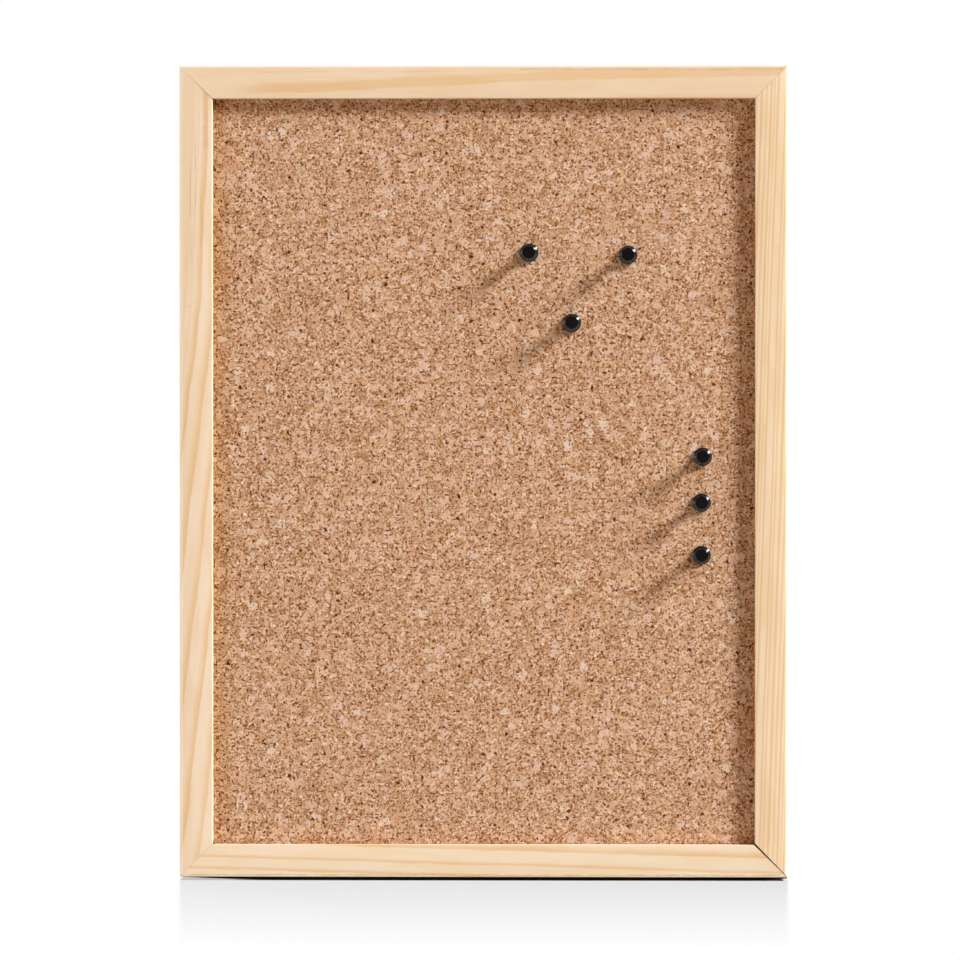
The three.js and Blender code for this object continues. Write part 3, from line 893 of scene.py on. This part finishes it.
SLOPING = Sawn(
    drift=0.0297, bend_at=0.0, bend=0.0, lean=0.4, waver=0.3, waver_length=110.0, ripple=1.5,
    first=-6.0, period=28.0, painted_lighting_share=0.0, painted_lighting_tone=LATE_WOOD,
    comes_in=(-2000.0, -1000.0), seed=37.0,
    pale=colour(246, 216, 182), deep=colour(244, 211, 171),
    bands=(
        LateWood(-0.3, 0.2, 0.5, 2.0, 0.8), LateWood(5.6, 6.1, 6.4, 7.8, 0.7),
        LateWood(13.0, 13.6, 14.0, 17.3, 0.85)),
    streaks=(Streak(-150.0, 150.0, 1.0, 0.6, 8.0, 0.7),))


def make_frame():
    width = (cad_box[1].x - cad_box[0].x) / MM
    height = (cad_box[1].z - cad_box[0].z) / MM
    half_shut = Mitre(0.0, 0.26, 3.0)
    even = Mitre(0.04, 0.1, 1.5)
    shut = Mitre(0.03, 0.07, 1.5)
    agape = Mitre(0.3, 1.0, 1.5)
    sides = [
        Side("top_rail", middle=(0, height), along=(1, 0), inward=(0, -1), length=width, width=16.3,
             outer_round=1.2, inner_round=0.6, start_gaps=half_shut, end_gaps=even, sawn=BANDED),
        Side("right_stile", middle=(width / 2, height / 2), along=(0, -1), inward=(-1, 0),
             length=height, width=16.3, outer_round=1.7, inner_round=0.4,
             start_gaps=even, end_gaps=agape, sawn=STRAIGHT),
        Side("bottom_rail", middle=(0, 0), along=(-1, 0), inward=(0, 1), length=width, width=16.0,
             outer_round=0.4, inner_round=0.15, start_gaps=agape, end_gaps=shut, sawn=SLOPING),
        Side("left_stile", middle=(-width / 2, height / 2), along=(0, 1), inward=(1, 0),
             length=height, width=16.4, outer_round=0.5, inner_round=0.5,
             start_gaps=shut, end_gaps=half_shut, sawn=FLAMED),
    ]
    for side in sides:
        make_rail(side)


def granule_relief(x, z, random):
    """Height of pressed granules over a grid: each its own level, with grooves between and some pits."""
    gap = GRANULE_GAP
    columns = int((x.max() - x.min()) / gap) + 4
    rows = int((z.max() - z.min()) / gap) + 4
    jitter_x = random.random((columns, rows))
    jitter_z = random.random((columns, rows))
    level = random.normal(0.0, GRANULE_STEP, (columns, rows))
    column = ((x - x.min()) / gap).astype(int) + 1
    row = ((z - z.min()) / gap).astype(int) + 1
    nearest = np.full(x.shape, 1e9)
    second = np.full(x.shape, 1e9)
    height = np.zeros(x.shape)
    for step_column in (-1, 0, 1):
        for step_row in (-1, 0, 1):
            seed = (column + step_column, row + step_row)
            seed_x = x.min() + (seed[0] - 1 + jitter_x[seed]) * gap
            seed_z = z.min() + (seed[1] - 1 + jitter_z[seed]) * gap
            distance = np.hypot(x - seed_x, z - seed_z)
            closer = distance < nearest
            second = np.where(closer, nearest, np.minimum(second, distance))
            height = np.where(closer, level[seed], height)
            nearest = np.where(closer, distance, nearest)
    height -= GRANULE_GROOVE * np.exp(-(second - nearest) / GROOVE_FALL)
    pits = random.random(x.shape) < PIT_SHARE
    return height - PIT_DEPTH * pits * random.random(x.shape)


def loop_edges(work, corners):
    """A closed loop of new edges through the given points."""
    verts = [work.verts.new(corner) for corner in corners]
    return [work.edges.new((a, b)) for a, b in zip(verts, verts[1:] + verts[:1])]


def needle_holes():
    """Where the needles go through the cork, in X and Z."""
    boxes = [millimetre_box(f"pin_needle_{number}") for number in range(1, PIN_COUNT + 1)]
    return [((low.x + high.x) / 2, (low.z + high.z) / 2) for low, high in boxes]


def off_hole(x, z, hole):
    """How far points lie from a hole, along the axis on which they are farther off."""
    return np.maximum(abs(x - hole[0]), abs(z - hole[1]))


def cork_face(level, holes):
    """The cork's granular face between the rails, flat round the needle holes and open at them."""
    left = millimetre_box("left_stile")[1].x - CORK_UNDER_LIP
    right = millimetre_box("right_stile")[0].x + CORK_UNDER_LIP
    bottom = millimetre_box("bottom_rail")[1].z - CORK_UNDER_LIP
    top = millimetre_box("top_rail")[0].z + CORK_UNDER_LIP
    columns = round((right - left) / CORK_STEP)
    rows = round((top - bottom) / CORK_STEP)
    across = np.linspace(left, right, columns + 1)
    upward = np.linspace(bottom, top, rows + 1)
    x, z = np.meshgrid(across, upward, indexing="ij")
    height = granule_relief(x, z, np.random.default_rng(CORK_SEED))
    rim = np.minimum.reduce([x - left, right - x, z - bottom, top - z])
    height *= np.clip(rim / CORK_UNDER_LIP, 0.0, 1.0)
    y = level - np.minimum(height, HIGHEST_GRANULE)
    kept = np.ones((columns, rows), bool)
    middle_x = (x[:-1, :-1] + x[1:, 1:]) / 2
    middle_z = (z[:-1, :-1] + z[1:, 1:]) / 2
    for hole in holes:
        y[off_hole(x, z, hole) < HOLE_REACH + 2 * CORK_STEP] = level
        kept &= off_hole(middle_x, middle_z, hole) > HOLE_REACH
    number = np.arange(x.size).reshape(x.shape)
    corners = np.stack([number[:-1, :-1], number[1:, :-1], number[1:, 1:], number[:-1, 1:]], axis=-1)
    return np.stack([x, y, z], axis=-1).reshape(-1, 3), corners[kept].tolist()


def make_cork():
    """The cork sheet: its granular face, closed to a sheet with a hole for each needle."""
    low, high = millimetre_box("cork_sheet")
    holes = needle_holes()
    points, faces = cork_face(low.y, holes)
    mesh = bpy.data.meshes.new("pressed_cork_sheet")
    mesh.from_pydata(points, [], faces)
    work = bmesh.new()
    work.from_mesh(mesh)
    bmesh.ops.delete(work, geom=[v for v in work.verts if not v.link_faces], context="VERTS")
    rim_edges = []
    hole_edges = {hole: [] for hole in holes}
    for edge in [edge for edge in work.edges if edge.is_boundary]:
        spot = (edge.verts[0].co + edge.verts[1].co) / 2
        near = [hole for hole in holes if off_hole(spot.x, spot.z, hole) < HOLE_REACH + 2 * CORK_STEP]
        (hole_edges[near[0]] if near else rim_edges).append(edge)
    sheet = [(low.x, low.z), (high.x, low.z), (high.x, high.z), (low.x, high.z)]
    front_rim = loop_edges(work, [(a, low.y, b) for a, b in sheet])
    back_rim = loop_edges(work, [(a, high.y, b) for a, b in sheet])
    bmesh.ops.triangle_fill(work, use_beauty=True, edges=rim_edges + front_rim)
    back_loops = list(back_rim)
    for hole in holes:
        front_ring = loop_edges(work, ring_at(*hole, low.y, NEEDLE_HOLE_RADIUS, HOLE_SIDES))
        back_ring = loop_edges(work, ring_at(*hole, high.y, NEEDLE_HOLE_RADIUS, HOLE_SIDES))
        bmesh.ops.triangle_fill(work, use_beauty=True, edges=hole_edges[hole] + front_ring)
        bmesh.ops.bridge_loops(work, edges=front_ring + back_ring)
        back_loops += back_ring
    bmesh.ops.triangle_fill(work, use_beauty=True, edges=back_loops)
    bmesh.ops.bridge_loops(work, edges=front_rim + back_rim)
    bmesh.ops.recalc_face_normals(work, faces=work.faces)
    bmesh.ops.scale(work, vec=(MM, MM, MM), verts=work.verts)
    work.to_mesh(mesh)
    work.free()
    sheet_piece = dress_mesh("pressed_cork_sheet", mesh, cork_finish(), 60.0)
    fasten(sheet_piece, "cork_sheet", "board")


def eased(start, stop, steps):
    """Points of a flowing S-shaped line between two points of a profile, leaving out the first."""
    points = []
    for step in range(1, steps + 1):
        share = step / steps
        ease = share * share * (3 - 2 * share)
        points.append((start[0] + (stop[0] - start[0]) * ease, start[1] + (stop[1] - start[1]) * share))
    return points


def head_profile(flange_radius, height):
    """A push pin's head from under its flange to the middle of its top."""
    top_floor = height - TOP_THICKNESS
    flange_x = flange_radius - FLANGE_ROUND
    top_x = TOP_RADIUS - HEAD_EDGE_ROUND
    under_x = TOP_RADIUS - HEAD_UNDER_ROUND
    waist = (WAIST_RADIUS, FLANGE_THICKNESS + FLANGE_RISE)
    profile = [(AXIS_RADIUS, 0.0)]
    profile += arc((flange_x, FLANGE_ROUND), FLANGE_ROUND, -QUARTER, 0, EDGE_STEPS)
    profile += arc((flange_x, FLANGE_THICKNESS - FLANGE_ROUND), FLANGE_ROUND, 0, QUARTER, EDGE_STEPS)
    profile += eased((flange_x, FLANGE_THICKNESS), waist, EDGE_STEPS)
    profile += eased((WAIST_RADIUS, top_floor - TOP_FLARE), (under_x, top_floor), EDGE_STEPS)
    profile += arc((under_x, top_floor + HEAD_UNDER_ROUND), HEAD_UNDER_ROUND, -QUARTER, 0, EDGE_STEPS)[1:]
    profile += arc((top_x, height - HEAD_EDGE_ROUND), HEAD_EDGE_ROUND, 0, QUARTER, EDGE_STEPS)
    profile += [(top_x * DISH_BEGINS, height), (top_x * DISH_FULL, height - TOP_DISH)]
    profile += [(AXIS_RADIUS, height - TOP_DISH)]
    return profile


def needle_profile(head_depth, length):
    """A needle from its point to its blunt end, with height 0 under the head."""
    profile = [(AXIS_RADIUS, -length)]
    for share in (0.15, 0.4, 0.7, 0.9):
        profile.append((NEEDLE_RADIUS * share, NEEDLE_POINT * share ** NEEDLE_POINT_BULGE - length))
    for height in (NEEDLE_POINT - length + NEEDLE_CHAMFER, -NEEDLE_NECK, head_depth - NEEDLE_CHAMFER):
        profile.append((NEEDLE_RADIUS, height))
    profile += [(NEEDLE_RADIUS - NEEDLE_CHAMFER, head_depth), (AXIS_RADIUS, head_depth)]
    return profile


def make_pins():
    """The push pins, each a turned head and a needle that move together."""
    plastic = pin_plastic_finish()
    steel = steel_finish("bright_needle_steel", colour(176, 177, 180), colour(214, 215, 217), 0.16, "Y")
    for number in range(1, PIN_COUNT + 1):
        head_low, head_high = millimetre_box(f"pin_head_{number}")
        needle_low, needle_high = millimetre_box(f"pin_needle_{number}")
        centre_x = (head_low.x + head_high.x) / 2
        centre_z = (head_low.z + head_high.z) / 2
        seat = head_high.y
        flange_radius = (head_high.x - head_low.x) / 2 + FLANGE_SPREAD
        shapes = [
            ("head", head_profile(flange_radius, seat - head_low.y), plastic, "pin_plastic"),
            ("needle", needle_profile(seat - needle_low.y, needle_high.y - seat), steel, "needle_steel"),
        ]
        for shape, profile, finish, slot in shapes:
            points, faces = turned(profile, PIN_SIDES if shape == "head" else HOLE_SIDES)
            placed = [(x + centre_x, seat - h, z + centre_z) for x, h, z in points]
            flipped = [tuple(reversed(face)) for face in faces]
            piece = make_piece(f"push_pin_{shape}_{number}", placed, flipped, finish, 50.0)
            fasten(piece, f"pin_{shape}_{number}", f"pin_{number}")


def strap_line(screw_drop, half_width):
    """The strap's middle line in Y and Z round the ring's axis, with its half width at each point."""
    middle = (ROLL_INNER + ROLL_OUTER) / 2
    tail = screw_drop + half_width
    line = []
    for step in range(STRAP_TAIL_STEPS + 1):
        turn = QUARTER * step / STRAP_TAIL_STEPS
        rise = half_width * (1 - math.cos(turn))
        line.append((-middle, rise - tail, max(half_width * math.sin(turn), STRAP_TIP)))
    for share in (0.25, 0.5, 0.75):
        line.append((-middle, -screw_drop * (1 - share), half_width))
    end = -math.acos((ROLL_SLIT - ROLL_INNER) / ROLL_OUTER)
    for y, z in arc((0, 0), middle, math.pi, end, ROLL_STEPS):
        line.append((y, z, half_width))
    return line


def strap_mesh(line):
    """A strip with rounded edges along a line in Y and Z."""
    half = STRAP_THICKNESS / 2
    rings = []
    for index, (y, z, wide) in enumerate(line):
        before = line[max(index - 1, 0)]
        after = line[min(index + 1, len(line) - 1)]
        way = Vector((0.0, after[0] - before[0], after[1] - before[1])).normalized()
        out = Vector((0.0, -way.z, way.y))
        edge = min(STRAP_EDGE, wide * 0.5)
        section = []
        for corner, (sign_x, sign_n) in enumerate([(1, 1), (-1, 1), (-1, -1), (1, -1)]):
            centre = (sign_x * (wide - edge), sign_n * (half - edge))
            section += arc(centre, edge, corner * QUARTER, (corner + 1) * QUARTER, 3)
        rings.append([Vector((across, y, z)) + out * level for across, level in section])
    return loft(rings)


def ring_line(width, drop):
    """The ring's wire line in X and Z: a bar through the strap's eye, two arms and a round foot."""
    half = width / 2
    arm_end = -RING_CORNER - RING_ARM
    line = arc((half - RING_CORNER, -RING_CORNER), RING_CORNER, QUARTER, 0, EDGE_STEPS)
    foot = drop + arm_end
    for step in range(RING_STEPS + 1):
        angle = -math.pi * step / RING_STEPS
        line.append((half * math.cos(angle), arm_end + foot * math.sin(angle)))
    line += arc((RING_CORNER - half, -RING_CORNER), RING_CORNER, math.pi, QUARTER, EDGE_STEPS)
    line += [((half - RING_CORNER) * share, 0.0) for share in (-0.6, -0.2, 0.2, 0.6)]
    return line


def wire_mesh(line, radius):
    """A round wire along a closed line in X and Z."""
    rings = []
    for index, (x, z) in enumerate(line):
        before = line[index - 1]
        after = line[(index + 1) % len(line)]
        way = Vector((after[0] - before[0], 0.0, after[1] - before[1])).normalized()
        out = Vector((way.z, 0.0, -way.x))
        ring = []
        for side in range(WIRE_SIDES):
            angle = 2 * math.pi * side / WIRE_SIDES
            offset = out * (radius * math.cos(angle)) + Vector((0.0, radius * math.sin(angle), 0.0))
            ring.append(Vector((x, 0.0, z)) + offset)
        rings.append(ring)
    return loft(rings, closed=True)


def screw_mesh(head_radius, length):
    """A pan-head screw with a threaded shank, turned about the height axis, its head from height 0."""
    threaded = length - SCREW_PLAIN
    steps = int(threaded / SCREW_THREAD_PITCH * SCREW_THREAD_STEPS)
    rings = []
    for step in range(steps + 1):
        depth = -length + threaded * step / steps
        taper = min(1.0, (depth + length) / SCREW_POINT + SCREW_TIP_SHARE)
        ring = []
        for side in range(SCREW_SIDES):
            angle = 2 * math.pi * side / SCREW_SIDES
            phase = (depth / SCREW_THREAD_PITCH - side / SCREW_SIDES) % 1.0
            crest = max(0.0, 1 - abs(phase - 0.5) * 4)
            radius = (SCREW_SHANK_RADIUS - SCREW_THREAD_RISE * (1 - crest)) * taper
            ring.append((radius * math.cos(angle), depth, radius * math.sin(angle)))
        rings.append(ring)
    head = [(SCREW_SHANK_RADIUS, -SCREW_NECK), (SCREW_SHANK_RADIUS, 0.0), (head_radius, 0.0)]
    head += arc(
        (head_radius - SCREW_HEAD_EDGE, SCREW_HEAD_HEIGHT - SCREW_HEAD_EDGE), SCREW_HEAD_EDGE,
        0, QUARTER, EDGE_STEPS)
    head += [(AXIS_RADIUS, SCREW_HEAD_HEIGHT)]
    for radius, height in head:
        rings.append(ring_at(0.0, 0.0, height, radius, SCREW_SIDES))
    return loft(rings)


def slot_cutter(across, along, centre):
    """A closed cutter for one bar of the cross slot in a screw's head."""
    points, faces = loft([
        [(-across / 2, level, -along / 2), (across / 2, level, -along / 2),
         (across / 2, level, along / 2), (-across / 2, level, along / 2)]
        for level in (SCREW_HEAD_HEIGHT - SLOT_DEPTH, SCREW_HEAD_HEIGHT + CUT_OVER)])
    return upright_piece("slot", shifted(points, centre), faces, None)


def make_hanger(side_name, zinc, wire_zinc):
    """A strap rolled round its ring's bar, the ring and the screw, round the ring's own axis."""
    joint = next(j for j in frame["joints"] if j["name"] == f"ring_{side_name}_swing")
    axis = Vector(joint["pos_m"]) / MM
    strap_low, strap_high = millimetre_box(f"hanger_strap_{side_name}")
    ring_low, ring_high = millimetre_box(f"hanger_ring_{side_name}")
    screw_low, screw_high = millimetre_box(f"hanger_screw_{side_name}")
    half_width = (strap_high.x - strap_low.x) / 2
    screw_drop = axis.z - strap_low.z - half_width
    points, faces = strap_mesh(strap_line(screw_drop, half_width))
    strap = upright_piece(f"rolled_strap_{side_name}", shifted(points, axis), faces, zinc, 50.0)
    fasten(strap, f"hanger_strap_{side_name}", "board")
    wire_radius = RING_WIRE / 2
    line = ring_line(ring_high.x - ring_low.x - RING_WIRE, axis.z - ring_low.z - wire_radius)
    points, faces = wire_mesh(line, wire_radius)
    ring = upright_piece(f"wire_ring_{side_name}", shifted(points, axis), faces, wire_zinc, 60.0)
    fasten(ring, f"hanger_ring_{side_name}", f"ring_{side_name}")
    head_radius = (screw_high.x - screw_low.x) / 2
    seat = Vector((axis.x, screw_high.y - SCREW_HEAD_HEIGHT, axis.z - screw_drop))
    points, faces = screw_mesh(head_radius, seat.y - screw_low.y)
    screw = upright_piece(f"pan_screw_{side_name}", shifted(points, seat), faces, zinc)
    cut(screw, [slot_cutter(SLOT_LENGTH, SLOT_WIDTH, seat), slot_cutter(SLOT_WIDTH, SLOT_LENGTH, seat)])
    fasten(screw, f"hanger_screw_{side_name}", "board")


def make_hangers():
    zinc = steel_finish("zinc_plate", colour(176, 178, 180), colour(208, 209, 208), 0.3, "X")
    wire_zinc = steel_finish("zinc_wire", colour(182, 184, 186), colour(214, 215, 214), 0.22, "X")
    for side_name in ("left", "right"):
        make_hanger(side_name, zinc, wire_zinc)


def dress_hidden_nodes():
    """The nodes whose CAD shape stays: the layers behind the cork, and the V-nails."""
    nail_steel = steel_finish("nail_strip_steel", colour(120, 121, 124), colour(158, 159, 161), 0.34, "Y")
    finishes = {"softboard_core": softboard_finish(), "hardboard_back": hardboard_finish()}
    for node in frame["nodes"]:
        if node.startswith("v_nail"):
            finishes[node] = nail_steel
    for node, finish in finishes.items():
        shape = frame["nodes"][node]
        shape.data.materials.clear()
        shape.data.materials.append(finish)


def make_floor():
    """A pale floor that the camera sees as white, but for a painted shade in front of the board and its
    real shade under and behind it.
    """
    level = -CONTACT_GAP * MM
    mesh = bpy.data.meshes.new("floor")
    mesh.from_pydata(
        [(-FLOOR_REACH, FLOOR_NEAR, level), (FLOOR_REACH, FLOOR_NEAR, level),
         (FLOOR_REACH, FLOOR_REACH, level), (-FLOOR_REACH, FLOOR_REACH, level)], [], [(0, 1, 2, 3)])
    floor = bpy.data.objects.new("floor", mesh)
    bpy.context.scene.collection.objects.link(floor)
    paint = Finish("pale_floor", Base_Color=FLOOR_COLOUR, Roughness=0.9, Specular_IOR_Level=0.0)
    x, y, _ = paint.parts(paint.place())
    half_width = cad_box[1].x / MM
    half_depth = -millimetre_box("bottom_rail")[0].y
    ahead = (-half_depth - y).at_least(0.0)
    behind = (y - half_depth).at_least(0.0)
    nearer = ahead * (MM / CAMERA_DISTANCE)
    eye_x = LOOK_AT.x / MM + CAMERA_DISTANCE / MM * math.sin(CAMERA_AZIMUTH)
    beside = abs(x - nearer * eye_x) / (1 - nearer) - half_width
    blur = ahead * 0.006 + 0.8
    # Painted shade: in front of the board the camera sees the floor's own grey instead of white, in a band
    # as wide as the board that fades away from it.
    edge = paint.between(beside / blur, 1.0, -1.0) * paint.between(behind, 40.0, 0.0)
    shade = edge * (1 - ahead / SHADE_REACH).at_least(0.0) * SHADE_SHARE
    back_shade = paint.between(behind, BACK_SHADE_REACH, 0.0) * paint.between(beside, 0.0, -6.0)
    shade = shade.at_least(back_shade * paint.between(behind, 0.0, 5.0))
    under = paint.between(ahead, 4.0, 0.0) * paint.between(behind, 4.0, 0.0)
    under = under * paint.between(beside, 0.0, -3.0)
    shade = shade.at_least(under * paint.between(x, -half_width, 45.0 - half_width))
    camera_ray = paint.add("ShaderNodeLightPath", output="Is Camera Ray")
    white = (1 - shade) * camera_ray
    glow = paint.add("ShaderNodeEmission", sockets={"Color": WHITE, "Strength": 1.0})
    shaded = Value(paint, paint.surface.outputs[0])
    mixed = paint.add("ShaderNodeMixShader", sockets={0: white, 1: shaded, 2: glow})
    paint.feed(paint.tree.nodes["Material Output"], {"Surface": mixed})
    mesh.materials.append(paint.material)


def make_contact_line():
    """A dark strip under the frame, as painted shade where no light gets in: gone at the left end, thin at
    the right.
    """
    half_width = cad_box[1].x / MM
    front = millimetre_box("bottom_rail")[0].y + CONTACT_INSET
    back = front + CONTACT_DEPTH
    rings = []
    for step in range(CONTACT_STEPS + 1):
        x = half_width * CONTACT_WIDTH_SHARE * (2 * step / CONTACT_STEPS - 1)
        lifted = (-x / half_width) ** 5 if x < 0 else 0.71 * (x / half_width) ** 6
        drop = max(CONTACT_GAP * (1 - lifted), 0.02)
        rings.append([(x, front, -0.01), (x, front, -drop), (x, back, -drop), (x, back, -0.01)])
    points, faces = loft(rings)
    dark = Finish("unlit_gap", Roughness=1.0, Specular_IOR_Level=0.0)
    dust = dark.noise(dark.place(), 3.0)
    shade = dark.mix(dust, (0.004, 0.004, 0.004, 1.0), (0.012, 0.011, 0.01, 1.0))
    strip = upright_piece("painted_contact_shade", points, faces, dark.wear(Base_Color=shade))


def make_surroundings():
    """White to the camera; to the board a warm even light, dark in reflections of the camera's side."""
    world = bpy.data.worlds.new("studio")
    bpy.context.scene.world = world
    world.use_nodes = True
    sky = Shades(world.node_tree)
    direction = sky.parts(sky.add("ShaderNodeTexCoord", output="Generated"))
    rays = sky.add("ShaderNodeLightPath", output="Is Camera Ray")
    glossy = rays.other("Is Glossy Ray")
    room = sky.ramp(0.0 - direction[1], [
        (0.0, WHITE), (0.06, (0.34, 0.29, 0.29, 1.0)), (0.3, (0.15, 0.12, 0.13, 1.0)),
        (0.6, (0.1, 0.085, 0.09, 1.0)), (0.88, (0.075, 0.06, 0.058, 1.0))])
    front_share = 0.5 - direction[1] * 0.5
    fill = sky.ramp(front_share, [(0.0, SKY_BACK), (0.5, SKY_SIDE), (1.0, SKY_FRONT)])
    seen = sky.mix(glossy, fill, room)
    seen = sky.mix(rays, seen, WHITE)
    background = world.node_tree.nodes["Background"]
    sky.feed(background, {"Color": seen, "Strength": 1.0})


def make_lamp(name, place, target, size, power, tint=(1.0, 1.0, 1.0)):
    light = bpy.data.lights.new(name, "AREA")
    light.shape = "SQUARE"
    light.size = size
    light.energy = power
    light.color = tint
    lamp = bpy.data.objects.new(name, light)
    lamp.location = place
    lamp.rotation_euler = (Vector(target) - Vector(place)).to_track_quat("-Z", "Y").to_euler()
    bpy.context.scene.collection.objects.link(lamp)


def make_lamps():
    middle = (cad_box[0] + cad_box[1]) / 2
    make_lamp("key_softbox", middle + KEY_WAY * KEY_DISTANCE, middle, KEY_SIZE, KEY_POWER, KEY_TINT)
    make_lamp("left_softbox", LEFT_PLACE, middle, LEFT_SIZE, LEFT_POWER)
    make_lamp("back_softbox", BACK_PLACE, middle, BACK_SIZE, BACK_POWER)


def make_camera():
    camera = bpy.data.cameras.new("camera")
    camera.sensor_width = CAMERA_SENSOR
    camera.lens = CAMERA_SENSOR * CAMERA_DISTANCE / PHOTO_WIDTH
    back = Vector((
        math.sin(CAMERA_AZIMUTH) * math.cos(CAMERA_ELEVATION),
        -math.cos(CAMERA_AZIMUTH) * math.cos(CAMERA_ELEVATION),
        math.sin(CAMERA_ELEVATION)))
    eye = bpy.data.objects.new("camera", camera)
    eye.location = LOOK_AT + back * CAMERA_DISTANCE
    eye.rotation_euler = (-back).to_track_quat("-Z", "Y").to_euler()
    camera.clip_end = CAMERA_REACH
    bpy.context.scene.collection.objects.link(eye)
    bpy.context.scene.camera = eye


make_camera()
make_frame()
make_cork()
make_pins()
make_hangers()
dress_hidden_nodes()
make_floor()
make_contact_line()
make_surroundings()
make_lamps()
bpy.context.scene.view_settings.view_transform = "Standard"
